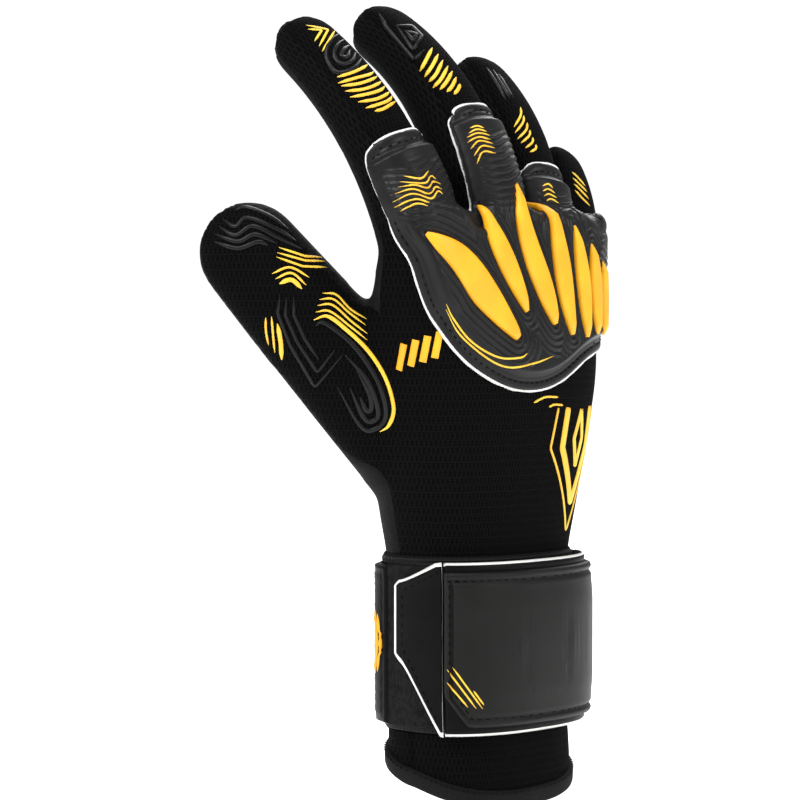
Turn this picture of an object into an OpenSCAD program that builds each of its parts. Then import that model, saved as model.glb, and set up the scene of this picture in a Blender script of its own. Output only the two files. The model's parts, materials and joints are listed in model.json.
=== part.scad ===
// Goalkeeper glove for the right hand, as it stands when it is filled out by a hand.
// +Z runs from the cuff to the fingertips, -Y is the back of the hand and -X is the thumb's side.
// The origin is the middle of the cuff's mouth. Every finger stall is an arc with rounded sections,
// and each sewn panel is a solid between an outer and an inner grid of points on that arc.

/* [Wrist and cuff] */
// Width of the sleeve inside the strap
wrist_width = 69; // [62:1:78]
// Depth of the sleeve inside the strap, from back to palm
wrist_depth = 48; // [43:1:54]
// Height of the strap above the lowest point of the hem
strap_bottom = 26; // [20:1:34]
// Width of the strap along the arm
strap_height = 60; // [50:1:66]
// How much shorter the cuff is on the palm side
cuff_rise = 18; // [6:1:18]
// Height of the binding round the cuff's mouth
hem_height = 6; // [4:0.5:7]

/* [Palm] */
// Width of the hand at the finger roots
palm_width = 104; // [98:1:116]
// Depth of the hand at the finger roots
palm_depth = 30; // [27:1:34]
// Depth of the hand at the ball of the thumb
heel_depth = 54; // [48:1:60]
// How far the finger roots stand behind the wrist's axis
knuckle_back = 10; // [6:1:16]

/* [Finger stalls] */
// Width of a finger stall at its root
stall_width = 25.4; // [23:0.2:28]
// Width of a finger stall at its tip
tip_width = 21.5; // [19:0.5:24]
// Depth of a finger stall at its root
stall_depth = 26; // [23:0.5:29]
// Length of the index stall from its root to its tip
index_length = 91; // [80:1:100]
// Length of the middle stall
middle_length = 94; // [82:1:102]
// Length of the ring stall
ring_length = 77; // [70:1:88]
// Length of the little stall
little_length = 55; // [50:1:70]
// Share of a stall's length at which it bends
middle_joint = 0.47; // [0.42:0.01:0.52]

/* [Thumb] */
// Length of the thumb stall from the ball of the thumb
thumb_length = 105; // [95:1:114]
// Width of the thumb stall at its root
thumb_width = 44; // [40:1:48]
// Width of the thumb stall at its tip
thumb_tip_width = 33; // [29:1:36]

/* [Cloth and foam] */
// Thickness of the knitted back
mesh_cloth = 1.6; // [1.2:0.1:2]
// Thickness of the palm's latex and its backing
latex = 4.6; // [3.6:0.1:5.4]
// Thickness of the moulded backhand pad
pad = 2.4; // [1.8:0.1:3]
// Thickness of the white foam that shows round the pad's edge
foam = 0.8; // [0.6:0.1:1.2]
// How far the raised ribs stand out of the pad
rib = 2.2; // [1.5:0.1:2.6]
// Thickness of printed silicone
print_film = 0.5; // [0.4:0.05:0.7]
// Thickness of the strap's webbing and patches
webbing = 1.1; // [0.9:0.1:1.3]
// Thickness of the strap's padded block
block = 3; // [2.4:0.1:3.6]

/* [Movement] */
// How far a finger stall bends at its root, in degrees
root_flex = 50; // [30:1:55]
// How far a finger stall bends at its middle, in degrees
mid_flex = 62; // [40:1:66]
// How far the thumb bends at its root, in degrees
thumb_flex = 30; // [14:1:36]
// How far any stall straightens past its sewn curve, in degrees
straighten = 10; // [6:1:14]
// How far the hand tips either way on the cuff, in degrees
wrist_tip = 24; // [14:1:28]

/* [Hidden] */

boxy = 0.8;            // exponent of a section's sine and cosine: 1 is an ellipse, less is squarer
seam = 0.3;            // clearance between neighbouring panels
joint_gap = 0.5;       // clearance between the panels on the two sides of a joint
layer = 0.2;           // clearance between a panel and what lies on it
elastic_slack = 0.45;  // clearance between the sleeve and the elastic round it
strap_slack = 0.4;     // clearance between the strap's thick layers
strap_top = strap_bottom + strap_height;
wrist_joint = strap_top + 9;   // height of the axis that the hand tips about

// ---------------------------------------------------------------- points and solids

function lobe(v) = sign(v) * pow(abs(v), boxy);
function mix(a, b, q) = a + (b - a) * q;
function steps(a, b, n) = [for (i = [0:n]) mix(a, b, i / n)];
function quad(a, b, c, d) = [[a, b, c], [a, c, d]];

// True if the outer grid's first cell faces away from the inner grid.
function faces_out(outer, inner) =
    cross(outer[1][0] - outer[0][0], outer[0][1] - outer[0][0]) * (outer[0][0] - inner[0][0]) > 0;

// A solid between two grids of points with the same rows and columns. Closed grids join their
// last column to their first.
module skin(outer, inner, closed = false) {
    rows = len(outer);
    cols = len(outer[0]);
    last = closed ? cols - 1 : cols - 2;
    function at(layer_no, i, j) = (layer_no * rows + i) * cols + j % cols;
    sheet_faces = [for (i = [0:rows - 2], j = [0:last])
        each concat(quad(at(0, i, j), at(0, i + 1, j), at(0, i + 1, j + 1), at(0, i, j + 1)),
                    quad(at(1, i, j), at(1, i, j + 1), at(1, i + 1, j + 1), at(1, i + 1, j)))];
    end_faces = [for (j = [0:last])
        each concat(quad(at(0, 0, j), at(0, 0, j + 1), at(1, 0, j + 1), at(1, 0, j)),
                    quad(at(0, rows - 1, j), at(1, rows - 1, j), at(1, rows - 1, j + 1),
                         at(0, rows - 1, j + 1)))];
    side_faces = closed ? [] : [for (i = [0:rows - 2])
        each concat(quad(at(0, i, 0), at(1, i, 0), at(1, i + 1, 0), at(0, i + 1, 0)),
                    quad(at(0, i, cols - 1), at(0, i + 1, cols - 1), at(1, i + 1, cols - 1),
                         at(1, i, cols - 1)))];
    faces = concat(sheet_faces, end_faces, side_faces);
    points = concat([for (r = outer) each r], [for (r = inner) each r]);
    turned = faces_out(outer, inner);
    polyhedron(points, turned ? [for (f = faces) [f[2], f[1], f[0]]] : faces);
}

// A filled solid through closed rows of points, each of them flat.
module filled(rings) {
    cols = len(rings[0]);
    last = len(rings) - 1;
    walls = [for (i = [0:last - 1], j = [0:cols - 1])
        each quad(i * cols + j, (i + 1) * cols + j, (i + 1) * cols + (j + 1) % cols,
                  i * cols + (j + 1) % cols)];
    bottom = [[for (j = [0:cols - 1]) j]];
    top = [[for (j = [0:cols - 1]) last * cols + cols - 1 - j]];
    middle_of = rings[0][0] / 2 + rings[0][floor(cols / 2)] / 2;
    turned = faces_out(rings, [[middle_of]]);
    faces = concat(walls, bottom, top);
    points = [for (r = rings) each r];
    polyhedron(points, turned ? [for (f = faces) [for (k = [len(f) - 1:-1:0]) f[k]]] : faces);
}

// ---------------------------------------------------------------- the hand and cuff

// The hand's sections: [height, middle x, middle y, half width, half depth].
knuckle_z = 200;
wrist_w = wrist_width / 2;
wrist_d = wrist_depth / 2;
hand_rings = [
    [-10, 1, 0, wrist_w + 0.5, wrist_d + 1],
    [strap_bottom - 6, 1, 0, wrist_w + 0.5, wrist_d + 1],
    [strap_bottom + 4, 0, 0, wrist_w, wrist_d],
    [strap_top - 2, 0, 0, wrist_w, wrist_d],
    [strap_top + 14, 0, 0, wrist_w + 4, wrist_d + 2],
    [122, 0, -1, palm_width / 2 - 9, heel_depth / 2],
    [148, 0, -3, palm_width / 2 - 4, heel_depth / 2],
    [175, -3, -knuckle_back * 0.6, palm_width / 2 - 0.5, mix(heel_depth, palm_depth, 0.5) / 2],
    [knuckle_z, -2, -knuckle_back, palm_width / 2, palm_depth / 2],
    [knuckle_z + 30, -2, -knuckle_back, palm_width / 2, palm_depth / 2]];

function ring_below(z, i = 0) =
    i >= len(hand_rings) - 2 || hand_rings[i + 1][0] >= z ? i : ring_below(z, i + 1);
function ring_at(z) =
    let (i = ring_below(z), a = hand_rings[i], b = hand_rings[i + 1])
    mix(a, b, (z - a[0]) / (b[0] - a[0]));

// A point on the hand or cuff at height z and angle t from the middle of the back towards +X.
function hand_point(z, t, off = 0) =
    let (r = ring_at(z))
    [r[1] + (r[3] + off) * lobe(sin(t)), r[2] - (r[4] + off) * lobe(cos(t)), z];

// A grid of such points between two edges, which are heights for each angle.
function hand_grid(angles, low, high, rows, off) =
    [for (i = [0:rows]) [for (j = [0:len(angles) - 1])
        hand_point(mix(low[j], high[j], i / rows), angles[j], off)]];

module hand_panel(angles, low, high, rows, out, in, closed = false) {
    skin(hand_grid(angles, low, high, rows, out), hand_grid(angles, low, high, rows, in), closed);
}

function level(angles, z) = [for (t = angles) z];

// ---------------------------------------------------------------- the stalls

// A stall: [root, spread, lean, roll, curl, length, root half width, tip half width,
// root half depth, tip half depth]. Spread turns it towards +X, lean tips it towards the palm,
// roll turns it about its own length and curl is how far it bends from root to tip.
ROOT = 0;
SPREAD = 1;
LEAN = 2;
ROLL = 3;
CURL = 4;
LENGTH = 5;
W0 = 6;
W1 = 7;
D0 = 8;
D1 = 9;

function finger(x, y, z, spread, lean, curl, length, slim = 1) =
    [[x, y, z], spread, lean, 0, curl, length, slim * stall_width / 2, slim * tip_width / 2,
     slim * stall_depth / 2, slim * tip_width / 2 * 0.9];

pitch = stall_width + 1.2;
index = finger(-1.5 * pitch - 1, -knuckle_back + 1, knuckle_z - 5, -12, 10, 46, index_length);
middle = finger(-0.5 * pitch + 1, -knuckle_back - 2, knuckle_z + 1, -2, 8, 58, middle_length);
ring = finger(0.5 * pitch + 1, -knuckle_back, knuckle_z - 4, 10, 8, 50, ring_length);
little = finger(1.45 * pitch - 1, -knuckle_back + 4, knuckle_z - 18, 22, 4, 42, little_length,
    0.93);
fingers = [index, middle, ring, little];
thumb = [[-26, 6, 125], -40, 18, 42, 14, thumb_length,
    thumb_width / 2, thumb_tip_width / 2, thumb_width / 2 * 0.72, thumb_tip_width / 2 * 0.8];

function across(f) =
    let (b = f[SPREAD], a = f[LEAN], r = f[ROLL])
    cos(r) * [cos(b), 0, -sin(b)] + sin(r) * [sin(a) * sin(b), -cos(a), sin(a) * cos(b)];
function backwards(f) =
    let (b = f[SPREAD], a = f[LEAN], r = f[ROLL])
    cos(r) * [sin(a) * sin(b), -cos(a), sin(a) * cos(b)] - sin(r) * [cos(b), 0, -sin(b)];
function along(f) =
    let (b = f[SPREAD], a = f[LEAN])
    [cos(a) * sin(b), sin(a), cos(a) * cos(b)];

// How far the stall has turned at a distance s along it, in degrees, then its line and directions.
function turned(f, s) = f[CURL] * s / f[LENGTH];
function spine(f, s) =
    let (radius = f[LENGTH] / (f[CURL] * PI / 180), a = turned(f, s))
    f[ROOT] + along(f) * radius * sin(a) - backwards(f) * radius * (1 - cos(a));
function forward_at(f, s) = along(f) * cos(turned(f, s)) - backwards(f) * sin(turned(f, s));
function back_at(f, s) = backwards(f) * cos(turned(f, s)) + along(f) * sin(turned(f, s));

// The tip is rounded over the last part of the length.
function tip_run(f) = f[W1] * 1.05;
function tip_angle(f, s) = max(0, 90 * (s - f[LENGTH] + tip_run(f)) / tip_run(f));
function tip_reach(f, s, off) =
    let (flat = f[LENGTH] - tip_run(f))
    s <= flat ? s : flat + (tip_run(f) + off) * sin(tip_angle(f, s));

// A point on a stall at s along it and angle t from its back, off outside its surface. A cut shifts
// it along the stall: [per depth on the palm's side, per depth on the back's side, gap].
function stall_point(f, s, t, off, cut) =
    let (
        q = s / f[LENGTH],
        round = cos(tip_angle(f, s)),
        side = (mix(f[W0], f[W1], q) + off) * lobe(sin(t)) * round,
        depth = (mix(f[D0], f[D1], q) + off) * lobe(cos(t)) * round,
        reach = tip_reach(f, s, off),
        shift = cut[2] + (depth < 0 ? -depth * cut[0] : depth * cut[1]))
    spine(f, reach) + across(f) * side + back_at(f, reach) * depth
        + forward_at(f, reach) * shift;

no_cut = [0, 0, 0];
function stall_grid(f, stations, angles, off, first_cut, last_cut) =
    [for (i = [0:len(stations) - 1])
        let (c = i == 0 ? first_cut : i == len(stations) - 1 ? -last_cut : no_cut)
        [for (t = angles) stall_point(f, stations[i], t, off, c)]];

module stall_panel(f, stations, angles, out, in, first_cut = no_cut, last_cut = no_cut) {
    skin(stall_grid(f, stations, angles, out, first_cut, last_cut),
         stall_grid(f, stations, angles, in, first_cut, last_cut));
}

function cut_for(flex) = [tan(flex / 2), tan(straighten / 2), joint_gap];
root_cut = cut_for(root_flex);
mid_cut = cut_for(mid_flex);
tip_steps = [20, 38, 54, 68, 79, 86];
function bend_at(f) = f[LENGTH] * middle_joint;
function base_stations(f) = steps(0, bend_at(f), 3);
function tip_stations(f) =
    concat(steps(bend_at(f), f[LENGTH] - tip_run(f), 2),
           [for (a = tip_steps) f[LENGTH] - tip_run(f) * (1 - a / 90)]);

back_edge = 58;        // a stall's back panel reaches this far round each side, in degrees
palm_edge = 116;       // and its palm panel starts here
side_gap = 1;          // seam between them, in degrees
back_angles = steps(-back_edge, back_edge, 6);
palm_angles = steps(palm_edge, 360 - palm_edge, 6);
side_angles = steps(back_edge + side_gap, palm_edge - side_gap, 2);

module stall_sides(f, stations, first_cut, last_cut) {
    stall_panel(f, stations, side_angles, 0, -mesh_cloth, first_cut, last_cut);
    stall_panel(f, stations, -side_angles, 0, -mesh_cloth, first_cut, last_cut);
}

module base_back(f) {
    color("#17181a")
    stall_panel(f, base_stations(f), back_angles, 0, -mesh_cloth, root_cut, mid_cut);
}

module base_sides(f) {
    color("#121315")
    stall_sides(f, base_stations(f), root_cut, mid_cut);
}

module base_palm(f) {
    color("#1f2022")
    stall_panel(f, base_stations(f), palm_angles, 0, -latex, root_cut, mid_cut);
}

module base_pad(f) {
    color("#34353a")
    stall_panel(f, base_stations(f), steps(-back_edge + 6, back_edge - 6, 6),
        layer + pad, layer, root_cut, mid_cut + [0, 0, 2]);
}

module tip_back(f) {
    color("#17181a")
    stall_panel(f, tip_stations(f), back_angles, 0, -mesh_cloth, mid_cut);
}

module tip_sides(f) {
    color("#121315")
    stall_sides(f, tip_stations(f), mid_cut, no_cut);
}

module tip_palm(f) {
    color("#1f2022")
    stall_panel(f, tip_stations(f), palm_angles, 0, -latex, mid_cut);
}

module tip_print(f) {
    color("#f7d23c")
    for (band = [0.28, 0.42, 0.56, 0.7])
        stall_panel(f, steps(mix(bend_at(f), f[LENGTH], band),
                mix(bend_at(f), f[LENGTH], band + 0.08), 2),
            steps(-34, 40, 4), layer + print_film, layer);
}

// ---------------------------------------------------------------- cuff

// Every layer round the wrist turns at the same angles, so one lies flat on the next.
turn = 6;
function stations(a, b) = concat([a],
    [for (k = [floor(a / turn) + 1:ceil(b / turn) - 1]) k * turn], [b]);
hem_angles = steps(-180, 174, 59);
// The hem is lowest on the back and rises towards the palm.
function hem_z(t) = cuff_rise * (1 - cos(t + 10)) / 2;
// The cuff and the hand leave a wedge for the hand to tip into, on both sides of the wrist's axis.
function wrist_wedge(t, z) = abs(hand_point(z, t)[1]) * tan(wrist_tip / 2) + joint_gap;
function cuff_top(t) = wrist_joint - wrist_wedge(t, wrist_joint);
function hand_low(t) = wrist_joint + wrist_wedge(t, wrist_joint + 6);

module cuff_panel(angles) {
    hand_panel(angles, [for (t = angles) hem_z(t) + 1.2], [for (t = angles) cuff_top(t)],
        7, 0, -mesh_cloth);
}

module cuff_back() {
    color("#15161a")
    cuff_panel(stations(-89.6, 89.6));
}

module cuff_palm() {
    color("#1b1c20")
    cuff_panel(stations(90.4, 269.6));
}

// The binding wraps round the sleeve's edge: outside, underneath and inside.
module cuff_hem() {
    out = webbing + seam;
    in = -mesh_cloth - seam;
    function loop(off, up) = [for (t = hem_angles) hand_point(hem_z(t) + up, t, off)];
    color("#0e0f11")
    skin([loop(out, hem_height), loop(out, 0), loop(in - webbing, 0), loop(in - webbing, hem_height)],
         [loop(seam, hem_height), loop(seam, 0.9), loop(in, 0.9), loop(in, hem_height)], true);
}

// ---------------------------------------------------------------- strap

// Levels of the strap's layers outside the sleeve.
elastic_in = elastic_slack;
loop_in = elastic_in + webbing + strap_slack;
hook_in = loop_in + webbing + seam;
band_in = hook_in + webbing + layer;
block_in = band_in + webbing + strap_slack;
strap_hinge = 84;      // the strap swings open about this angle on the little finger's side
block_edge = -62;      // the block's end, where the tab starts
tab_end = -92;

module wrist_elastic() {
    angles = steps(-180, 174, 59);
    color("#26272b")
    hand_panel(angles, level(angles, strap_bottom), level(angles, strap_top - 0.5), 4,
        elastic_in + webbing, elastic_in, true);
}

module strap_anchor() {
    angles = stations(strap_hinge + 2, strap_hinge + 22);
    color("#202125")
    hand_panel(angles, level(angles, strap_bottom + 2), level(angles, strap_top - 3), 4,
        band_in + webbing, loop_in);
}

module loop_patch() {
    angles = stations(-150, -60);
    color("#101114")
    hand_panel(angles, level(angles, strap_bottom + 2), level(angles, strap_top - 3), 4,
        loop_in + webbing, loop_in);
}

module strap_band() {
    angles = stations(block_edge + 1.2, strap_hinge - 2);
    color("#141519")
    hand_panel(angles, level(angles, strap_bottom), level(angles, strap_top - 1), 4,
        band_in + webbing, band_in);
}

module strap_block() {
    angles = stations(block_edge + 1.2, 62);
    low = [for (t = angles) strap_bottom + 4 + max(0, 10 - (t - angles[0]) * 0.9)];
    color("#3a3b40")
    hand_panel(angles, low, level(angles, strap_top - 5), 4, block_in + block, block_in);
}

module strap_stripes() {
    color("#f0d445")
    for (i = [0:4]) {
        t = block_edge + 9 + i * 4.5;
        angles = steps(t, t + 1.6, 1);
        low = strap_bottom + 7 + max(0, 6 - i * 3);
        hand_panel(angles, [low + 3 * i / 4, low], [low + 16 - i, low + 14 - i], 3,
            block_in + block + layer + print_film, block_in + block + layer);
    }
}

module strap_tab() {
    angles = stations(tab_end, block_edge - 1.2);
    run = block_edge - 1.2 - tab_end;
    low = [for (t = angles) strap_bottom + 28 * pow(1 - (t - tab_end) / run, 1.2)];
    high = [for (t = angles) strap_top - 2 - (t == tab_end ? 8 : 0)];
    color("#2c2d31")
    hand_panel(angles, low, high, 4, band_in + webbing, band_in);
}

module hook_patch() {
    angles = stations(tab_end + 5, block_edge - 4);
    color("#0d0e10")
    hand_panel(angles, level(angles, strap_bottom + 30), level(angles, strap_top - 12), 3,
        hook_in + webbing, hook_in);
}

// ---------------------------------------------------------------- hand

outer_seam = 74;       // the back ends here on the little finger's side
palm_seam = 102;       // and the palm starts here, with the gusset between them
thumb_seam = -98;      // the back and the palm meet here on the thumb's side

// The plane across a finger's root, tipped by the angle that the finger needs clear of the hand.
function root_plane(f, x, y) =
    let (
        r = f[ROOT],
        behind = r[1] - y,
        tip = behind > 0 ? f[LEAN] - straighten / 2 : f[LEAN] + root_flex / 2)
    r[2] - (x - r[0]) * tan(f[SPREAD]) + behind * tan(tip) / cos(f[SPREAD]) - joint_gap;
// The hand's upper edge keeps below every root plane whose finger is near.
function hand_top(t, margin = 0) =
    let (p = hand_point(knuckle_z - 5, t))
    min([for (f = fingers) if (abs(p[0] - f[ROOT][0]) < pitch * 0.66) root_plane(f, p[0], p[1])])
        - margin;

// The thumb's root passes through the hand's side, and its base swings beside the palm.
thumb_bend = thumb_length * 0.36;
thumb_knuckle = thumb_length * 0.68;
module thumb_plug(off, reach = -3) {
    filled(stall_grid(thumb, steps(0, thumb_bend + reach, 3), steps(0, 345, 23), off, no_cut,
        no_cut));
}
module thumb_sweep(off) {
    for (turned = [-straighten, 0, thumb_flex / 2, thumb_flex])
        translate(spine(thumb, thumb_bend)) rotate(turned, -across(thumb))
            translate(-spine(thumb, thumb_bend)) thumb_plug(off, thumb_length * 0.28);
}

module hand_back() {
    angles = steps(thumb_seam + 0.4, outer_seam - 0.4, 28);
    color("#16171b")
    difference() {
        hand_panel(angles, [for (t = angles) hand_low(t)], [for (t = angles) hand_top(t)],
            9, 0, -mesh_cloth);
        thumb_plug(seam);
    }
}

module outer_gusset() {
    angles = steps(outer_seam, palm_seam, 5);
    color("#121315")
    hand_panel(angles, [for (t = angles) hand_low(t)], [for (t = angles) hand_top(t, 1.5)],
        9, 0, -mesh_cloth);
}

module hand_palm() {
    angles = steps(palm_seam + 0.4, 360 + thumb_seam - 0.4, 26);
    color("#1f2022")
    difference() {
        hand_panel(angles, [for (t = angles) hand_low(t)], [for (t = angles) hand_top(t, 1.5)],
            9, 0, -latex);
        thumb_plug(seam);
        thumb_sweep(seam);
    }
}

// The lower edge of the moulded pad, from the thumb's side to the little finger's side.
function pad_low(t) = lookup(t, [[-96, 176], [-84, 168], [-71, 157], [-58, 148], [-40, 144],
    [-27, 145], [-10, 151], [5, 156], [14, 157], [32, 153], [52, 151], [70, 156]]);

module backhand_foam() {
    angles = steps(-92, 70, 30);
    color("#e8e8e4")
    hand_panel(angles, [for (t = angles) pad_low(t)], [for (t = angles) hand_top(t, 1)], 6,
        layer + foam, layer);
}

module backhand_pad() {
    angles = steps(-91, 69, 30);
    color("#303136")
    hand_panel(angles, [for (t = angles) pad_low(t) + 0.8], [for (t = angles) hand_top(t, 1)], 6,
        layer + foam + layer + pad, layer + foam + layer);
}

// A raised rib on the pad from [angle, height] to [angle, height], bowed sideways and tapered.
function rib_point(a, b, bow, wide, off, q, side) =
    let (
        taper = pow(max(0, sin(180 * mix(0.06, 0.94, q))), 0.7),
        t = mix(a[0], b[0], q) + bow * sin(180 * q) + side * wide * taper)
    hand_point(mix(a[1], b[1], q) - side * 1.5 * taper, t, off);
function rib_grid(a, b, bow, wide, off) =
    [for (i = [0:8]) [for (side = [-1, -0.5, 0, 0.5, 1])
        rib_point(a, b, bow, wide, off, i / 8, side)]];
module raised(a, b, bow, wide, low, high) {
    skin(rib_grid(a, b, bow, wide, high), rib_grid(a, b, bow, wide, low));
}

module knuckle_ribs() {
    low = layer + foam + layer + pad + layer;
    color("#ffb01e")
    for (r = [
        [[-60, 164], [-80, 189], 6, 6], [[-44, 154], [-50, 194], 7, 5],
        [[-28, 153], [-31, 196], 5, 4], [[-12, 159], [-11, 197], 4, 4.5],
        [[4, 163], [7, 196], 4, 4], [[20, 161], [26, 192], 4, 5],
        [[38, 159], [46, 184], 3, 5]])
        raised(r[0], r[1], r[2], r[3], low, low + rib);
}

// Nested chevrons low on the back, over the little finger's side of the wrist.
module back_emblem() {
    color("#f4cf3a")
    for (v = [[6, 139, 26, 106, 2.2], [46, 139, 27, 106, -2.2],
              [14, 141, 26.4, 120, 1.4], [38, 141, 26.6, 120, -1.4]])
        raised([v[0], v[1]], [v[2] - sign(v[4]), v[3]], 0, abs(v[4]),
            layer, layer + print_film);
}

// A short row of slanted bars between the thumb and the pad.
module side_mark() {
    color("#f3b52e")
    for (i = [0:2])
        raised([-84 + i * 8, 145 - i * 2], [-80 + i * 8, 155 - i * 3], 0, 1.6,
            layer, layer + print_film);
}

// ---------------------------------------------------------------- thumb

thumb_back_edge = 74;
thumb_back_angles = steps(-thumb_back_edge, thumb_back_edge, 8);
thumb_palm_angles = steps(thumb_back_edge + 1, 359 - thumb_back_edge, 10);
thumb_cut = cut_for(thumb_flex);
thumb_mid_cut = cut_for(mid_flex - 12);

// The hand as one solid block, which the thumb's root is cut back to.
module hand_block(off) {
    angles = steps(0, 345, 23);
    filled(hand_grid(angles, level(angles, 96), level(angles, 190), 6, off));
}

module thumb_root(angles, thick) {
    difference() {
        stall_panel(thumb, steps(0, thumb_bend, 4), angles, 0, -thick, no_cut, thumb_cut);
        hand_block(seam);
    }
}

module thumb_root_back() {
    color("#16171b")
    thumb_root(thumb_back_angles, mesh_cloth);
}

module thumb_root_palm() {
    color("#1f2022")
    thumb_root(thumb_palm_angles, latex);
}

thumb_base_stations = steps(thumb_bend, thumb_knuckle, 3);
thumb_tip_stations = concat(steps(thumb_knuckle, thumb_length - tip_run(thumb), 2),
    [for (a = tip_steps) thumb_length - tip_run(thumb) * (1 - a / 90)]);

module thumb_base_back() {
    color("#16171b")
    stall_panel(thumb, thumb_base_stations, thumb_back_angles, 0, -mesh_cloth, thumb_cut,
        thumb_mid_cut);
}

module thumb_base_palm() {
    color("#1f2022")
    stall_panel(thumb, thumb_base_stations, thumb_palm_angles, 0, -latex, thumb_cut, thumb_mid_cut);
}

module thumb_base_print() {
    color("#f4cf3a")
    for (i = [0:2])
        stall_panel(thumb, steps(thumb_bend + 8, thumb_knuckle - 8, 3),
            steps(-40 + i * 16, -36 + i * 16, 1), layer + print_film, layer);
}

module thumb_tip_back() {
    color("#16171b")
    stall_panel(thumb, thumb_tip_stations, thumb_back_angles, 0, -mesh_cloth, thumb_mid_cut);
}

module thumb_tip_palm() {
    color("#1f2022")
    stall_panel(thumb, thumb_tip_stations, thumb_palm_angles, 0, -latex, thumb_mid_cut);
}

module thumb_tip_print() {
    color("#2c2d31")
    for (q = [0.25, 0.42, 0.59])
        stall_panel(thumb, steps(mix(thumb_knuckle, thumb_length, q),
                mix(thumb_knuckle, thumb_length, q + 0.09), 2),
            steps(-48, 36, 5), layer + print_film, layer);
}

// ---------------------------------------------------------------- the parts

cuff_back();
cuff_palm();
cuff_hem();
wrist_elastic();
strap_anchor();
loop_patch();
strap_band();
strap_block();
strap_stripes();
strap_tab();
hook_patch();
hand_back();
hand_palm();
outer_gusset();
backhand_foam();
backhand_pad();
knuckle_ribs();
back_emblem();
side_mark();
thumb_root_back();
thumb_root_palm();
base_back(index);  // index_base_back
base_sides(index);  // index_base_sides
base_palm(index);  // index_base_palm
base_pad(index);  // index_base_pad
tip_back(index);  // index_tip_back
tip_sides(index);  // index_tip_sides
tip_palm(index);  // index_tip_palm
tip_print(index);  // index_tip_print
base_back(middle);  // middle_base_back
base_sides(middle);  // middle_base_sides
base_palm(middle);  // middle_base_palm
base_pad(middle);  // middle_base_pad
tip_back(middle);  // middle_tip_back
tip_sides(middle);  // middle_tip_sides
tip_palm(middle);  // middle_tip_palm
tip_print(middle);  // middle_tip_print
base_back(ring);  // ring_base_back
base_sides(ring);  // ring_base_sides
base_palm(ring);  // ring_base_palm
base_pad(ring);  // ring_base_pad
tip_back(ring);  // ring_tip_back
tip_sides(ring);  // ring_tip_sides
tip_palm(ring);  // ring_tip_palm
tip_print(ring);  // ring_tip_print
base_back(little);  // little_base_back
base_sides(little);  // little_base_sides
base_palm(little);  // little_base_palm
base_pad(little);  // little_base_pad
tip_back(little);  // little_tip_back
tip_sides(little);  // little_tip_sides
tip_palm(little);  // little_tip_palm
tip_print(little);  // little_tip_print
thumb_base_back();
thumb_base_palm();
thumb_base_print();
thumb_tip_back();
thumb_tip_palm();
thumb_tip_print();
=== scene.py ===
# %% [markdown]
# # A goalkeeper glove, sewn panel by panel
# The imported CAD model is the frame: it says where the cuff, the hand and every finger segment are and
# how they turn. Each cloth, latex and foam panel is then made on one smooth hand form, cut along the
# real seams and given its thickness; the pieces of the cuff and the strap are tied to their body.

import json
import math

import bmesh
import bpy
import numpy as np
from mathutils import Matrix, Vector, noise
from mathutils.bvhtree import BVHTree


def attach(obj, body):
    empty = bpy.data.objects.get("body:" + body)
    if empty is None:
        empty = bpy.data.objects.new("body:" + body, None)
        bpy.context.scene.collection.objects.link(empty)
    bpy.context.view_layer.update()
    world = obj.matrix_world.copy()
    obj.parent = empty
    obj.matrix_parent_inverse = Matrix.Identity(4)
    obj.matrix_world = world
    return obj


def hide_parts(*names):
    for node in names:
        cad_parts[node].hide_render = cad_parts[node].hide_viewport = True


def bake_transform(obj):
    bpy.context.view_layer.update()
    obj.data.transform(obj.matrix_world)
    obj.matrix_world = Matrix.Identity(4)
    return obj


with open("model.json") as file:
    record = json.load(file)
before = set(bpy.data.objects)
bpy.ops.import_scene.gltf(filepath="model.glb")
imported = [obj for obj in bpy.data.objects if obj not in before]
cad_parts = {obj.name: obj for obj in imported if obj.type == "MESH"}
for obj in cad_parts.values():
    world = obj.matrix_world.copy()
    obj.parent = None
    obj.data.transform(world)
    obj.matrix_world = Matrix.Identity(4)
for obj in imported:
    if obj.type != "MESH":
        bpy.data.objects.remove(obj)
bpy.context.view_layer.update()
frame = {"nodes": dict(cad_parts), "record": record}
JOINTS = {j["name"]: j for j in frame["record"]["behaviour"]["joints"]}
MM = 0.001

# %% [markdown]
# ## The camera, the floor and the light
# The glove stands upright and is seen from the back and the thumb's side, level with its middle. Black
# cloth only shows its folds where something bright is mirrored in it, so three large soft lights stand
# round it and the room itself is bright.


# %% Camera
def look(azimuth, elevation):
    a, e = math.radians(azimuth), math.radians(elevation)
    back = Vector((math.sin(a) * math.cos(e), -math.cos(a) * math.cos(e), math.sin(e)))
    right = Vector((math.cos(a), math.sin(a), 0))
    return back, right


back, right = look(-47, 2)
camera = bpy.data.objects.new("camera", bpy.data.cameras.new("camera"))
bpy.context.scene.collection.objects.link(camera)
aim = Vector((0, 0, 0.1393)) - right * 0.0273
camera.location = aim + back * 1.1
camera.rotation_euler = back.to_track_quat("Z", "Y").to_euler()
camera.data.sensor_width = 36
camera.data.lens = 36 * 1.1 / 0.28
camera.data.clip_start, camera.data.clip_end = 0.01, 20
bpy.context.scene.camera = camera
print("camera at", [round(c, 3) for c in camera.location])


# %% [markdown]
# Black cloth and black moulded skin differ only in how they shine, so the lamps are large and soft: small
# ones would put hard spots on the skin. The room is white where the camera sees it and dimmer as a source
# of light, which keeps the blacks deep. The floor is a plain pale disc a little below the glove's mouth.

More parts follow.
